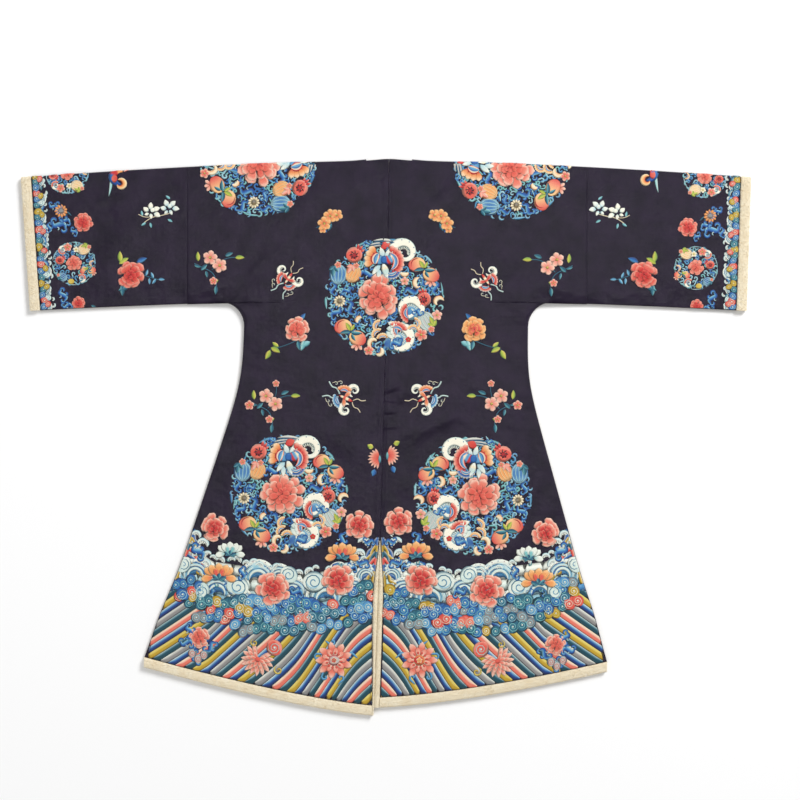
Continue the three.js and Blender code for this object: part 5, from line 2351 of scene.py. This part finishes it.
@dataclass(frozen=True)
class HemBand:
    """The sea, clouds and standing stripes along one half's hem. Distances run out from the middle."""

    name: str
    half: Half
    seed: int
    foam_top: Line = ((0, 40, 60, 120, 210, 330, 400, 440, 480, 540),
                      (-262, -300, -312, -312, -325, -300, -290, -262, -235, -220))
    stripe_top: Line = ((0, 60, 150, 300, 420, 480, 540), (-412, -430, -452, -455, -420, -380, -360))
    slope: Line = ((0, 30, 60, 80, 130, 170, 200, 240, 300, 390, 540),
                   (0.5, 0.7, 1.15, 1.55, 1.65, 1.4, 0.95, 0.7, 0.6, 0.55, 0.5))
    spacing: Line = ((0, 60, 130, 240, 400, 540), (20.5, 23, 25, 22, 18, 17))
    order: tuple[Tone, ...] = (
        Tone.BLUE, Tone.OCHRE, Tone.TEAL, Tone.SALMON, Tone.BLUE, Tone.GREY, Tone.TEAL, Tone.OCHRE, Tone.BLUE,
        Tone.SALMON, Tone.TEAL, Tone.GREY)

    ARCHES = ((125, -389, 54), (387, -374, 46), (441, -332, 42), (290, -340, 48), (205, -374, 42),
              (62, -374, 40), (330, -396, 36), (484, -346, 36), (30, -336, 30), (240, -336, 34),
              (96, -326, 28), (515, -330, 30))
    ROLLS = ((155, -347, 27), (338, -359, 27), (216, -330, 22), (88, -344, 19), (250, -362, 22),
             (424, -370, 22), (470, -306, 20))
    CLAWS = ((38, -258, 20, 21), (46, -284, -10, 20), (56, -306, 10, 18), (34, -232, 40, 16),
             (74, -316, -20, 18), (428, -258, 20, 20), (438, -284, -10, 20), (420, -306, 30, 18),
             (444, -236, 30, 16), (28, -318, 60, 17))
    CRESTS = (38, 50, 66, 104, 118, 150, 168, 190, 226, 246, 262, 286, 302, 318, 340, 356, 380, 398, 414, 436,
              452, 466, 480)

    def _at(self, out: float, y: float, turn: float = 0, size: float = 1, flip: bool = False) -> Place:
        """A place on this half."""
        return on_half(self.half, out, y, turn, size, flip)

    def _stripes(self, work: Needlework) -> None:
        """Stitches the standing stripes.

        Args:
            work: The needlework that they go into.
        """
        cut = CoatCut()
        outs = np.arange(0, 552, 6.0)
        fall = np.concatenate([[0], np.cumsum(np.interp((outs[1:] + outs[:-1]) / 2, *self.slope) * 6.0)])
        ends = cut.lay(self.half, np.linspace(2, float(cut.side_edge(cut.hem_level)), 120), cut.hem_level)
        hem_out = self.half.value * (ends[0] - cut.middle(ends[1]))
        order = np.argsort(hem_out)
        share = np.linspace(0, 1, 7)[None, :]
        for k in range(-34, 14):
            start = float(self._inner_edge(-430 - 20 * k))
            out = np.concatenate([[start], outs[outs > start + 2]])
            step = np.interp(out, *self.spacing)
            middle = -430 - np.interp(out, outs, fall) - k * step
            low = np.maximum(middle - step * 0.53, np.interp(out, hem_out[order], ends[1][order]) + 0.6)
            high = np.minimum(middle + step * 0.5, np.interp(out, *self.stripe_top) + 14)
            limit = np.interp(middle, *self._side_line(cut)) - 0.8
            for run in self._runs((high - low > 1.5) & (out < limit + 5)):
                if len(run) < 2:
                    continue
                y = low[run][:, None] * (1 - share) + high[run][:, None] * share
                far = np.minimum(np.broadcast_to(out[run][:, None], y.shape), limit[run][:, None])
                tone = self.order[(10 - k) % len(self.order)].value
                work.add(np.stack([cut.middle(y) + self.half.value * far, y], -1),
                         across(*tone), 0.3 * (k % 2), 0.12)

    def _inner_edge(self, y: np.ndarray) -> np.ndarray:
        """How far out the slit's fur reaches at heights."""
        cut = CoatCut()
        return cut.vent_fur(self.half, np.asarray(y) + 3 + 54 * smooth(-240, -640, y)) + 0.9

    @staticmethod
    def _runs(mask: np.ndarray) -> list[np.ndarray]:
        """The unbroken runs of a mask, as arrays of numbers."""
        numbers = np.flatnonzero(mask)
        return np.split(numbers, np.flatnonzero(np.diff(numbers) > 1) + 1) if len(numbers) else []

    def _side_line(self, cut: CoatCut) -> tuple[np.ndarray, np.ndarray]:
        """The skirt's side as distances out at heights, in the order that interpolation needs.

        Args:
            cut: The coat's cut.

        Returns:
            The heights, and the distances out.
        """
        heights = np.linspace(cut.hem_level, -200, 80)
        x, y = cut.lay(self.half, cut.side_edge(heights), heights)
        return y, self.half.value * (x - cut.middle(y))

    def _width(self, y: float) -> float:
        """How far out the skirt reaches at a height."""
        return float(np.interp(y, *self._side_line(CoatCut())))

    def _clouds(self, draw: Motifs) -> None:
        """Stitches the cloud coils over the stripes' tops.

        Args:
            draw: The motifs that stitch them.
        """
        dice = random.Random(self.seed)
        blues = ((Silk.NAVY, Silk.BLUE, Silk.ICE), (Silk.DEEP_TEAL, Silk.TEAL, Silk.AQUA),
                 (Silk.ROYAL, Silk.SKY, Silk.MIST), (Silk.NAVY, Silk.TEAL, Silk.ICE),
                 (Silk.NAVY, Silk.BLUE, Silk.AQUA))
        others = ((Silk.RED, Silk.CORAL, Silk.BLUSH), (Silk.OLIVE, Silk.OCHRE, Silk.LEMON),
                  (Silk.RED, Silk.SALMON, Silk.BLUSH), (Silk.OLIVE, Silk.OCHRE, Silk.CREAM),
                  (Silk.TEAL, Silk.GREY, Silk.ICE))
        crowns = self.ARCHES[:3]
        for row in (3, 2, 1, 0):
            out, bright = 16.0 + 12 * (row % 2), False
            while True:
                y = float(np.interp(out, *self.stripe_top)) + 21 * row - 6 + dice.uniform(-7, 7)
                double = dice.random() < 0.36
                if out > self._width(y) - 14:
                    break
                if any(math.hypot(out - a, y - b) < 0.9 * r and y > b - 0.2 * r for a, b, r in crowns):
                    out += 14
                    continue
                bright = not bright and dice.random() < (0.42 if row < 3 else 0.2)
                tones = dice.choice(others if bright else blues)
                size = dice.uniform(12.5, 16.5)
                spot = self._at(out + 6 * double, y, dice.uniform(-25, 25), size, dice.random() < 0.5)
                draw.coil(spot, tones, 4 + 0.9 * dice.random() + 0.5 * (row % 2), double)
                out += dice.uniform(20, 25) * (1.5 if double else 1)

    def _sea(self, work: Needlework, draw: Motifs) -> None:
        """Stitches the sea's ground, its waves and its foam.

        Args:
            work: The needlework that it goes into.
            draw: The motifs that stitch it.
        """
        cut = CoatCut()
        tones = (Silk.BLUE, Silk.SKY, Silk.ICE, Silk.MIST, Silk.WHITE, Silk.WHITE)
        for start, level in itertools.product(range(14, 530, 42), range(5)):
            outs = np.linspace(start, start + 42, 8)
            low, high = np.interp(outs, *self.stripe_top) + 4, np.interp(outs, *self.foam_top) - 8
            share = (level + np.linspace(0, 1, 3)[None, :]) / 5
            y = low[:, None] * (1 - share) + high[:, None] * share
            out = np.minimum(outs[:, None], np.vectorize(self._width)(y) - 1)
            x = cut.middle(y) + self.half.value * out
            work.add(np.stack([x, y], -1), across(*tones[level : level + 2]), 0.2, 0.1)
        for k, (out, y, size) in enumerate(self.ARCHES):
            if out < self._width(y) - 0.5 * size:
                draw.arch(self._at(out, y, 16 * math.sin(3 * k), size), 1 + 0.8 * (k % 3))
        dice = random.Random(self.seed)
        for k, out in enumerate(self.CRESTS):
            y = float(np.interp(out, *self.foam_top)) + dice.uniform(-7, 3)
            draw.crest(self._at(out, y, dice.uniform(-40, 20), dice.uniform(11, 16), k % 3 == 0),
                       1.4 + 0.8 * (k % 2))
        for k, (out, y, size) in enumerate(self.ROLLS):
            draw.roll(self._at(out, y, 20 * k, size, k % 2 == 0), 4)
        for out, y, turn, size in self.CLAWS:
            edge = self._width(y)
            if out < edge - 10:
                draw.crest(self._at(out, y, turn, size, out > 200), 3)

    def _rock(self, draw: Motifs, out: float, peak: float, spread: float, drop: float) -> None:
        """Stitches a mountain of nested ridges.

        Args:
            draw: The motifs.
            out: Its distance from the middle.
            peak: Its top's height.
            spread: Half its width at its foot.
            drop: Its height.
        """
        tones = ((Silk.NAVY, Silk.BLUE, Silk.ASH), (Silk.OLIVE, Silk.OCHRE, Silk.CREAM),
                 (Silk.DEEP_TEAL, Silk.TEAL, Silk.ASH), (Silk.RED, Silk.CORAL, Silk.BLUSH),
                 (Silk.NAVY, Silk.BLUE, Silk.ASH), (Silk.OLIVE, Silk.OCHRE, Silk.CREAM))
        steps = np.array([[0, 0], [0.34, -0.16], [0.5, -0.3], [0.54, -0.5], [0.84, -0.62], [0.97, -0.78],
                          [1, -1]])
        for k, tone in enumerate(tones):
            for way in (1, -1):
                grown = np.array([way * spread * (0.62 + 0.08 * k), drop * 0.5])
                points = steps * grown + np.array([0, peak - 0.14 * drop * k])
                t = np.linspace(0, len(points) - 1, 15)
                path = np.stack([np.interp(t, range(len(points)), points[:, c]) for c in range(2)], 1)
                path[:, 0] = np.maximum(path[:, 0] + out, self._inner_edge(path[:, 1]) + 4)
                path[:, 0] = np.minimum(path[:, 0], [self._width(y) - 5 for y in path[:, 1]])
                flat = np.stack([path[:, 0] * self.half.value + CoatCut().middle(path[:, 1]), path[:, 1]], 1)
                tint = across(*tone) if way * self.half.value > 0 else across(*tone[::-1])
                draw.work.ribbon(Place(), flat, np.full(15, 4.4), tint, 1.2 + 0.3 * k, 0.4, 5)

    def _flowers(self, draw: Motifs) -> None:
        """Stitches the flowers over the sea and on the stripes.

        Args:
            draw: The motifs that stitch them.
        """
        left = self.half is Half.LEFT
        red = (((412, -218, 36), (64, -211, 36), (270, -362, 43), (115, -343, 42)) if left
               else ((384, -230, 36), (30, -203, 36), (240, -367, 43), (84, -343, 42)))
        for k, (x, y, size) in enumerate(red):
            draw.peony(self._spot(x, y, 10 * k, size), (Silk.RED, Silk.SALMON, Silk.BLUSH), 40 + k, 6)
        orange = ((401, -331, 37), (105, -281, 36)) if left else ((366, -343, 37), (72, -278, 36))
        for x, y, size in orange:
            draw.cup_flower(self._spot(x, y, 0, size), BLOOM_ORANGE, 6)
            draw.scroll_leaf(self._spot(x + 18, y - 34, 120, 16), 3)
            draw.scroll_leaf(self._spot(x - 24, y - 32, 40, 15), 3)
        x, y = (374, -275) if left else (342, -285)
        draw.cup_flower(self._spot(x, y, 0, 31), BLOOM_WHITE, 6)
        for x, y, turn, size in ((436, -275, 60, 24), (92, -246, 120, 22), (40, -300, 210, 20),
                                 (196, -372, 30, 20), (328, -326, 100, 18), (26, -250, 200, 16)):
            draw.scroll_leaf(self._at(x, y, turn, size), 5)
        self._medallions(draw, left)

    def _spot(self, x: float, y: float, turn: float, size: float) -> Place:
        """A flower's place, from its distance from the picture's upright middle line."""
        return Place(self.half.value * x, y, turn * self.half.value, size, self.half is Half.LEFT)

    def _medallions(self, draw: Motifs, left: bool) -> None:
        """Stitches the three medallions on the stripes.

        Args:
            draw: The motifs that stitch them.
            left: Whether this is the left half.
        """
        places = ((449, -494), (302, -535), (125, -535)) if left else ((408, -511), (262, -539), (80, -535))
        (x, y), second, third = places
        draw.peony(self._spot(x, y + 14, 0, 27), BLOOM_CORAL, 61, 3)
        for dx, dy, turn in ((30, 0, 20), (-28, -8, 150), (4, -34, 250), (22, 30, 80)):
            draw.scroll_leaf(self._spot(x + dx, y + dy, turn, 20), 3)
        for dx, dy in ((-12, -28), (16, -24), (2, -38)):
            draw.coil(self._spot(x + dx, y + dy, 30, 11), (Silk.TEAL, Silk.ASH, Silk.CORAL), 4)
        x, y = second
        draw.chrysanthemum(self._spot(x + 6, y + 2, 200, 40), BLOOM_CORAL, 300, 3)
        draw.coil(self._spot(x - 34, y + 30, 0, 20), (Silk.PINK, Silk.CORAL, Silk.ASH), 4)
        draw.curl(self._spot(x + 14, y + 42, 0, 10), 1, 1.2, 0.36, along(Silk.OCHRE, Silk.LEMON), 5)
        draw.curl(self._spot(x - 44, y - 24, 0, 12), 1, 1.2, 0.36, along(Silk.OCHRE, Silk.LEMON), 5)
        x, y = third
        heart = (Silk.ASH, Silk.RED) if left else (Silk.RED, Silk.ORANGE)
        draw.medallion(self._spot(x, y, 0, 44), (Silk.CORAL, Silk.SALMON, Silk.BLUSH), heart, 3)
        for dx, dy in ((-40, 10), (40, 8), (-16, -42), (22, -40), (4, 44)):
            draw.tendril(self._spot(x + dx, y + dy, 4 * dx, 9), Silk.SKY, 4)

    def build(self, ground: Ground) -> bpy.types.Object:
        """Stitches the band.

        Args:
            ground: The satin.

        Returns:
            Its object.
        """
        work = Needlework(self.name, ground)
        draw = Motifs(work)
        self._stripes(work)
        self._rock(draw, 2, -240, 46, 110)
        self._rock(draw, self._width(-240) + 4, -220, 46, 110)
        self._sea(work, draw)
        self._clouds(draw)
        self._flowers(draw)
        return work.build()


@dataclass(frozen=True)
class CuffBand:
    """The strip of waves and cloud coils inside one cuff's fur."""

    name: str
    half: Half
    seed: int
    wide: float = 34

    def build(self, ground: Ground) -> bpy.types.Object:
        """Stitches the strip.

        Args:
            ground: The satin.

        Returns:
            Its object.
        """
        cut = CoatCut()
        work = Needlework(self.name, ground)
        draw = Motifs(work)
        dice = random.Random(self.seed)
        blues = ((Silk.NAVY, Silk.BLUE, Silk.ICE), (Silk.DEEP_TEAL, Silk.TEAL, Silk.AQUA))
        warm = ((Silk.RED, Silk.CORAL, Silk.BLUSH), (Silk.OLIVE, Silk.OCHRE, Silk.LEMON))
        way = self.half.value
        up, k = cut.underarm + 8, 0
        while up < cut.shoulder_top + 6:
            x, y = cut.lay(self.half, float(cut.cuff_edge(self.half, up)), min(up, cut.shoulder_top))
            place = Place(float(x), float(y) + max(0, up - cut.shoulder_top), 0, 1, way > 0)
            size = dice.uniform(13, 19)
            swell = place.inner(15 + dice.uniform(-3, 4), 0, -90 + dice.uniform(-50, 50), size)
            if k % 3 == 0:
                draw.arch(swell, 0.4)
            else:
                foam = across(Silk.NAVY, Silk.ROYAL, Silk.SKY, Silk.ICE)
                draw.comma(swell, 0.8, 190, 0.42,
                           foam if k % 2 else across(Silk.DEEP_TEAL, Silk.TEAL, Silk.ICE), 0.6)
                draw.comma(swell, 0.5, 200, 0.14, across(Silk.ICE, Silk.WHITE), 0.9)
            crest = place.inner(27 + dice.uniform(-4, 5), 4, dice.uniform(-150, -60), dice.uniform(6, 9),
                                k % 2 == 0)
            draw.crest(crest, 0.6)
            if k % 4 == 1:
                draw.roll(place.inner(20, 6, 0, dice.uniform(7, 10)), 3.4)
            tones = warm[(k // 3) % 2] if k % 3 == 1 else blues[k % 2]
            draw.coil(place.inner(8 + 5 * dice.random(), 0, dice.uniform(0, 360), dice.uniform(8.5, 11.5)),
                      tones, 4.6)
            if k % 3 == 0:
                draw.coil(place.inner(20, 7, dice.uniform(0, 360), 8), warm[(k // 2) % 2], 5.4)
            up, k = up + dice.uniform(12, 17), k + 1
        return work.build()


@dataclass(frozen=True)
class FurRoll:
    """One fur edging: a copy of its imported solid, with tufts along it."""

    name: str
    node: str
    seed: int
    tufts: int
    tuft_length: float = 1.3
    tuft_radius: float = 0.85
    tuft_tip: float = 0.2
    tuft_tilt: float = 0.4
    lowest_normal: float = 0.05

    def build(self, body: bpy.types.Object) -> bpy.types.Object:
        """Builds the fur.

        Args:
            body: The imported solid.

        Returns:
            The fur's object.
        """
        made = bpy.data.objects.new(self.name, body.data.copy())
        made.data.transform(body.matrix_world)
        made.data.name = self.name
        bpy.context.scene.collection.objects.link(made)
        made.data.materials.clear()
        made.data.materials.append(FUR.material())
        for polygon in made.data.polygons:
            polygon.material_index = 0
            polygon.use_smooth = True
        modifier = made.modifiers.new("tufts", "NODES")
        modifier.node_group = self._tree()
        values = {"Density": float(self.tufts), "Seed": self.seed, "Tuft Length": self.tuft_length * MM,
                  "Tuft Radius": self.tuft_radius * MM, "Fur": FUR.material()}
        for item in modifier.node_group.interface.items_tree:
            if item.item_type == "SOCKET" and item.name in values:
                modifier[item.identifier] = values[item.name]
        bpy.context.view_layer.update()
        shaped = made.evaluated_get(bpy.context.evaluated_depsgraph_get())
        mesh = bpy.data.meshes.new_from_object(shaped)
        made.modifiers.clear()
        made.data = mesh
        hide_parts(self.node)
        return made

    def _tree(self) -> bpy.types.NodeTree:
        """Builds the node tree that plants short tufts over the roll.

        Returns:
            The tree.
        """
        tree = bpy.data.node_groups.new(f"{self.name}_tufts", "GeometryNodeTree")
        face = tree.interface
        face.new_socket(name="Geometry", in_out="INPUT", socket_type="NodeSocketGeometry")
        for name, kind in (("Density", "Float"), ("Seed", "Int"), ("Tuft Length", "Float"),
                           ("Tuft Radius", "Float"), ("Fur", "Material")):
            face.new_socket(name=name, in_out="INPUT", socket_type=f"NodeSocket{kind}")
        face.new_socket(name="Geometry", in_out="OUTPUT", socket_type="NodeSocketGeometry")
        nodes, links = tree.nodes, tree.links
        inward, outward = nodes.new("NodeGroupInput"), nodes.new("NodeGroupOutput")
        scatter = nodes.new("GeometryNodeDistributePointsOnFaces")
        links.new(inward.outputs["Density"], scatter.inputs["Density"])
        links.new(inward.outputs["Seed"], scatter.inputs["Seed"])
        up = nodes.new("GeometryNodeInputNormal")
        split = nodes.new("ShaderNodeSeparateXYZ")
        above = nodes.new("FunctionNodeCompare")
        above.data_type = "FLOAT"
        above.operation = "GREATER_THAN"
        above.inputs["B"].default_value = self.lowest_normal
        cone = nodes.new("GeometryNodeMeshCone")
        cone.inputs["Vertices"].default_value = 3
        cone.inputs["Radius Top"].default_value = self.tuft_tip * MM
        links.new(inward.outputs["Tuft Radius"], cone.inputs["Radius Bottom"])
        links.new(inward.outputs["Tuft Length"], cone.inputs["Depth"])
        tilt = nodes.new("FunctionNodeRandomValue")
        tilt.data_type = "FLOAT_VECTOR"
        tilt.inputs["Min"].default_value = (-self.tuft_tilt, -self.tuft_tilt, 0)
        tilt.inputs["Max"].default_value = (self.tuft_tilt, self.tuft_tilt, 6.28)
        links.new(inward.outputs["Seed"], tilt.inputs["Seed"])
        turn = nodes.new("FunctionNodeRotateRotation")
        turn.rotation_space = "LOCAL"
        plant = nodes.new("GeometryNodeInstanceOnPoints")
        real = nodes.new("GeometryNodeRealizeInstances")
        join = nodes.new("GeometryNodeJoinGeometry")
        paint = nodes.new("GeometryNodeSetMaterial")
        links.new(inward.outputs["Geometry"], scatter.inputs["Mesh"])
        links.new(up.outputs["Normal"], split.inputs["Vector"])
        links.new(split.outputs["Z"], above.inputs["A"])
        links.new(above.outputs["Result"], scatter.inputs["Selection"])
        links.new(scatter.outputs["Points"], plant.inputs["Points"])
        links.new(scatter.outputs["Rotation"], turn.inputs["Rotation"])
        links.new(tilt.outputs["Value"], turn.inputs["Rotate By"])
        links.new(turn.outputs["Rotation"], plant.inputs["Rotation"])
        links.new(cone.outputs["Mesh"], plant.inputs["Instance"])
        links.new(plant.outputs["Instances"], real.inputs["Geometry"])
        links.new(inward.outputs["Geometry"], join.inputs["Geometry"])
        links.new(real.outputs["Geometry"], join.inputs["Geometry"])
        links.new(join.outputs["Geometry"], paint.inputs["Geometry"])
        links.new(inward.outputs["Fur"], paint.inputs["Material"])
        links.new(paint.outputs["Geometry"], outward.inputs["Geometry"])
        return tree


@dataclass(frozen=True)
class Fastening:
    """One of the front's fastenings: a flat braided knot and a cord loop, each on a strap of two cords."""

    number: int
    cord: float = 0.52
    strap_cord: float = 0.48
    knot_wide: float = 4.3
    knot_thick: float = 0.55
    knot_middle: float = 1.15
    loop_radius: float = 6.35
    loop_height: float = 0.6
    strap_spread: float = 1.5
    knot_strap: tuple[float, float] = (4.6, 36.5)
    knot_strap_height: float = 1.7
    loop_strap: tuple[float, float] = (-34.6, -6.6)
    stitch: float = 0.2

    def _tube(self, path: np.ndarray, radius: float,
              sides: int = 7) -> tuple[np.ndarray, list[tuple[int, ...]]]:
        """A closed tube along a path, with its ends capped.

        Args:
            path: The path's points.
            radius: The tube's radius.
            sides: How many sides it has.

        Returns:
            Its points and faces.
        """
        slope = np.gradient(path, axis=0)
        slope /= np.linalg.norm(slope, axis=1, keepdims=True)
        aside = np.cross(slope, np.array([0.0, 0.0, 1.0]))
        aside /= np.maximum(np.linalg.norm(aside, axis=1, keepdims=True), 1e-6)
        rise = np.cross(aside, slope)
        turn = np.linspace(0, 2 * math.pi, sides, endpoint=False)
        ripple = 0.12 * np.cos(3 * turn[None, :] + 1.3 * np.arange(len(path))[:, None])
        twist = radius * (1 + ripple)[..., None]
        ring = aside[:, None] * np.cos(turn)[None, :, None] + rise[:, None] * np.sin(turn)[None, :, None]
        points = (path[:, None] + twist * ring).reshape(-1, 3)
        faces = [(i * sides + k, i * sides + (k + 1) % sides, (i + 1) * sides + (k + 1) % sides,
                  (i + 1) * sides + k)
                 for i in range(len(path) - 1) for k in range(sides)]
        faces += [tuple(range(sides))[::-1], tuple(range(len(points) - sides, len(points)))]
        return points, faces_out(points, faces)

    def _straps(self, start: float, end: float, height: float) -> list[np.ndarray]:
        """The paths of a strap's two cords and of the stitches across them.

        Args:
            start: The strap's x at one end.
            end: Its x at the other.
            height: The cords' height.

        Returns:
            The paths, the two cords first.
        """
        along_x = np.linspace(start, end, 26)
        paths = []
        for way in (-1, 1):
            paths.append(np.stack([along_x, np.full(26, way * self.strap_spread), np.full(26, height)], 1))
        for x in np.linspace(start + 1.5 * (end > start), end - 1.5 * (end > start), 5):
            y = np.linspace(-2.1, 2.1, 6)
            paths.append(np.stack([np.full(6, x), y, height + 0.3 - 0.04 * y * y], 1))
        return paths

    def _make(self, name: str, node: str, corner: np.ndarray, paths: list[np.ndarray]) -> bpy.types.Object:
        """Makes one piece of its cords' paths, measured from the pair's middle.

        Args:
            name: The piece's name.
            node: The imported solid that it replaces.
            corner: The pair's middle.
            paths: The cords' paths.

        Returns:
            The piece.
        """
        points, faces, start = [], [], 0
        for k, path in enumerate(paths):
            radius = self.cord if k == 0 else self.strap_cord if k < 3 else self.stitch
            ring, around = self._tube(path + corner, radius)
            points.append(ring)
            faces += [tuple(start + index for index in face) for face in around]
            start += len(ring)
        made = new_mesh_object(name, np.concatenate(points), faces)
        made.data.materials.append(CORD.material())
        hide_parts(node)
        return made

    def build(self, nodes: dict[str, bpy.types.Object]) -> list[bpy.types.Object]:
        """Builds the knot and the loop.

        Args:
            nodes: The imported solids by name.

        Returns:
            The two pieces.
        """
        box = np.array([vertex.co[:] for vertex in nodes[f"knot_{self.number}"].data.vertices]) / MM
        low, high = box.min(0), box.max(0)
        corner = np.array([low[0] + 5, (low[1] + high[1]) / 2, low[2]])
        turn = np.linspace(0, 2 * math.pi, 90)
        reach = self.knot_wide * (0.62 + 0.38 * np.cos(5 * turn))
        braid = np.stack([reach * np.cos(3 * turn), reach * np.sin(3 * turn),
                          self.knot_middle + self.knot_thick * np.sin(5 * turn)], 1)
        knot = [braid, *self._straps(*self.knot_strap, self.knot_strap_height)]
        bow = np.linspace(math.radians(-168), math.radians(168), 40)
        ring = np.stack([self.loop_radius * np.cos(bow), self.loop_radius * np.sin(bow),
                         bow * 0 + self.loop_height], 1)
        loop = [ring, *self._straps(*self.loop_strap, self.loop_height)]
        return [self._make(f"knot_cord_{self.number}", f"knot_{self.number}", corner, knot),
                self._make(f"loop_cord_{self.number}", f"loop_{self.number}", corner, loop)]


@dataclass(frozen=True)
class Studio:
    """The pale floor, the camera straight above and the soft light from the upper right."""

    view_x: float = 33.6
    view_y: float = 89.4
    camera_height: float = 4545
    lens: float = 85
    floor_size: float = 12
    paper: tuple[float, float, float, float] = (0.93, 0.93, 0.93, 1)
    room: tuple[float, float, float, float] = (1, 1, 1, 1)
    room_strength: float = 0.47

    def build(self) -> None:
        """Builds the studio."""
        scene = bpy.context.scene
        data = bpy.data.cameras.new("camera")
        data.lens = self.lens
        data.sensor_width = 36
        camera = bpy.data.objects.new("camera", data)
        camera.location = (self.view_x * MM, self.view_y * MM, self.camera_height * MM)
        scene.collection.objects.link(camera)
        scene.camera = camera
        half = self.floor_size * 500
        corners = np.array([[-half, -half, -0.6], [half, -half, -0.6], [half, half, -0.6], [-half, half, -0.6]])
        floor = new_mesh_object("floor", corners, [(0, 1, 2, 3)])
        paper = bpy.data.materials.new("pale_paper")
        paper.use_nodes = True
        paper.node_tree.nodes["Principled BSDF"].inputs["Base Color"].default_value = self.paper
        paper.node_tree.nodes["Principled BSDF"].inputs["Roughness"].default_value = 0.9
        floor.data.materials.append(paper)
        self._light("key", (4.2, 4.9, 5.2), 620, 3.0)
        self._light("fill", (-2.2, -0.6, 3.2), 24, 2.6)
        world = bpy.data.worlds.new("pale_room")
        scene.world = world
        world.use_nodes = True
        world.node_tree.nodes["Background"].inputs["Color"].default_value = self.room
        world.node_tree.nodes["Background"].inputs["Strength"].default_value = self.room_strength
        scene.view_settings.view_transform = "Standard"

    def _light(self, name: str, place: tuple[float, float, float], power: float, size: float) -> None:
        """Adds a square soft light that faces the coat.

        Args:
            name: The light's name.
            place: Where it is, in metres.
            power: Its power, in watts.
            size: Its side, in metres.
        """
        data = bpy.data.lights.new(name, "AREA")
        data.energy = power
        data.size = size
        light = bpy.data.objects.new(name, data)
        light.location = place
        light.rotation_euler = (Vector((0, 0, 0)) - Vector(place)).to_track_quat("-Z", "Y").to_euler()
        bpy.context.scene.collection.objects.link(light)


@dataclass
class Coat:
    """The whole coat."""

    cut: CoatCut = field(default_factory=CoatCut)
    fastenings: int = 5
    tuft_density: int = 220000
    first_fur_seed: int = 100

    def _rounds(self) -> list[Roundel | SmallRoundel]:
        """The nine round fields.

        Returns:
            The fields, the large ones first.
        """
        return [
            Roundel("roundel_back", Place(-4.8, 336.6, 0, 146), 5),
            Roundel("roundel_hem_left", Place(-234, -136, 0, 146), 6),
            Roundel("roundel_hem_right", Place(210, -141, 0, 146, True), 7),
            Roundel("roundel_shoulder_left", Place(-307, 670, -90, 146, True), 8),
            Roundel("roundel_shoulder_right", Place(302, 663, 90, 146), 9),
            SmallRoundel("roundel_cuff_left", Place(-749, 417, 0, 54), 10),
            SmallRoundel("roundel_cuff_right", Place(744, 406, 0, 54, True), 11),
            SmallRoundel("roundel_fold_left", Place(-766, 637, 180, 54, True), 12),
            SmallRoundel("roundel_fold_right", Place(766, 627, 180, 54), 13),
        ]

    def _sprays(self) -> list[Sprays]:
        """Both halves' sprays.

        Returns:
            The sprays, the left ones first.
        """
        left = Sprays(
            "sprays_left", Half.LEFT, magnolia=(-542, 545), red_peony=(-612, 394), plum=(-410, 421),
            fold_butterfly=(-646, 613), cuff_peony=(-727, 517), cuff_aster=(-782, 543), cuff_lower=(-746, 329),
            pale_blossoms=(-134, 521), upper_butterfly=(-235, 380), warm_flower=(-218, 255),
            low_plum=(-276, 89), low_butterfly=(-98, 94), fan=(-29, -55))
        right = Sprays(
            "sprays_right", Half.RIGHT, magnolia=(533, 543), red_peony=(619, 394), plum=(398, 416),
            fold_butterfly=(634, 622), cuff_peony=(725, 505), cuff_aster=(780, 531), cuff_lower=(754, 322),
            pale_blossoms=(132, 521), upper_butterfly=(240, 377), warm_flower=(216, 255), low_plum=(264, 89),
            low_butterfly=(94, 94), fan=(17, -47))
        return [left, right]

    def build(self, nodes: dict[str, bpy.types.Object]) -> None:
        """Builds every piece and reports it.

        Args:
            nodes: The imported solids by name.
        """
        shells = SatinShells(self.cut).build()
        for shell in shells:
            self._report(shell)
        ground = Ground(shells, self.cut)
        bands = [HemBand("hem_band_left", Half.LEFT, 70), HemBand("hem_band_right", Half.RIGHT, 71)]
        cuffs = [CuffBand("cuff_band_left", Half.LEFT, 80), CuffBand("cuff_band_right", Half.RIGHT, 81)]
        for needle in (*self._rounds(), *self._sprays(), *bands, *cuffs):
            self._report(needle.build(ground))
        for number, node in enumerate(sorted(name for name in nodes if "fur" in name)):
            roll = FurRoll(f"{node}_pile", node, self.first_fur_seed + number, self.tuft_density)
            self._report(roll.build(nodes[node]))
        for number in range(1, self.fastenings + 1):
            for piece in Fastening(number).build(nodes):
                self._report(piece)

    @staticmethod
    def _report(piece: bpy.types.Object) -> None:
        """Fixes a piece to the coat and logs its size.

        Args:
            piece: The piece.
        """
        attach(piece, "root")
        piece.data.calc_loop_triangles()
        LOG.info("%s: %d triangles", piece.name, len(piece.data.loop_triangles))


def main() -> None:
    """Builds the coat and its studio, in order."""
    logging.basicConfig(level=logging.INFO, format="%(message)s")
    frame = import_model()
    Coat().build(frame["nodes"])
    Studio().build()
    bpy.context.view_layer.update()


if __name__ == "__main__":
    main()
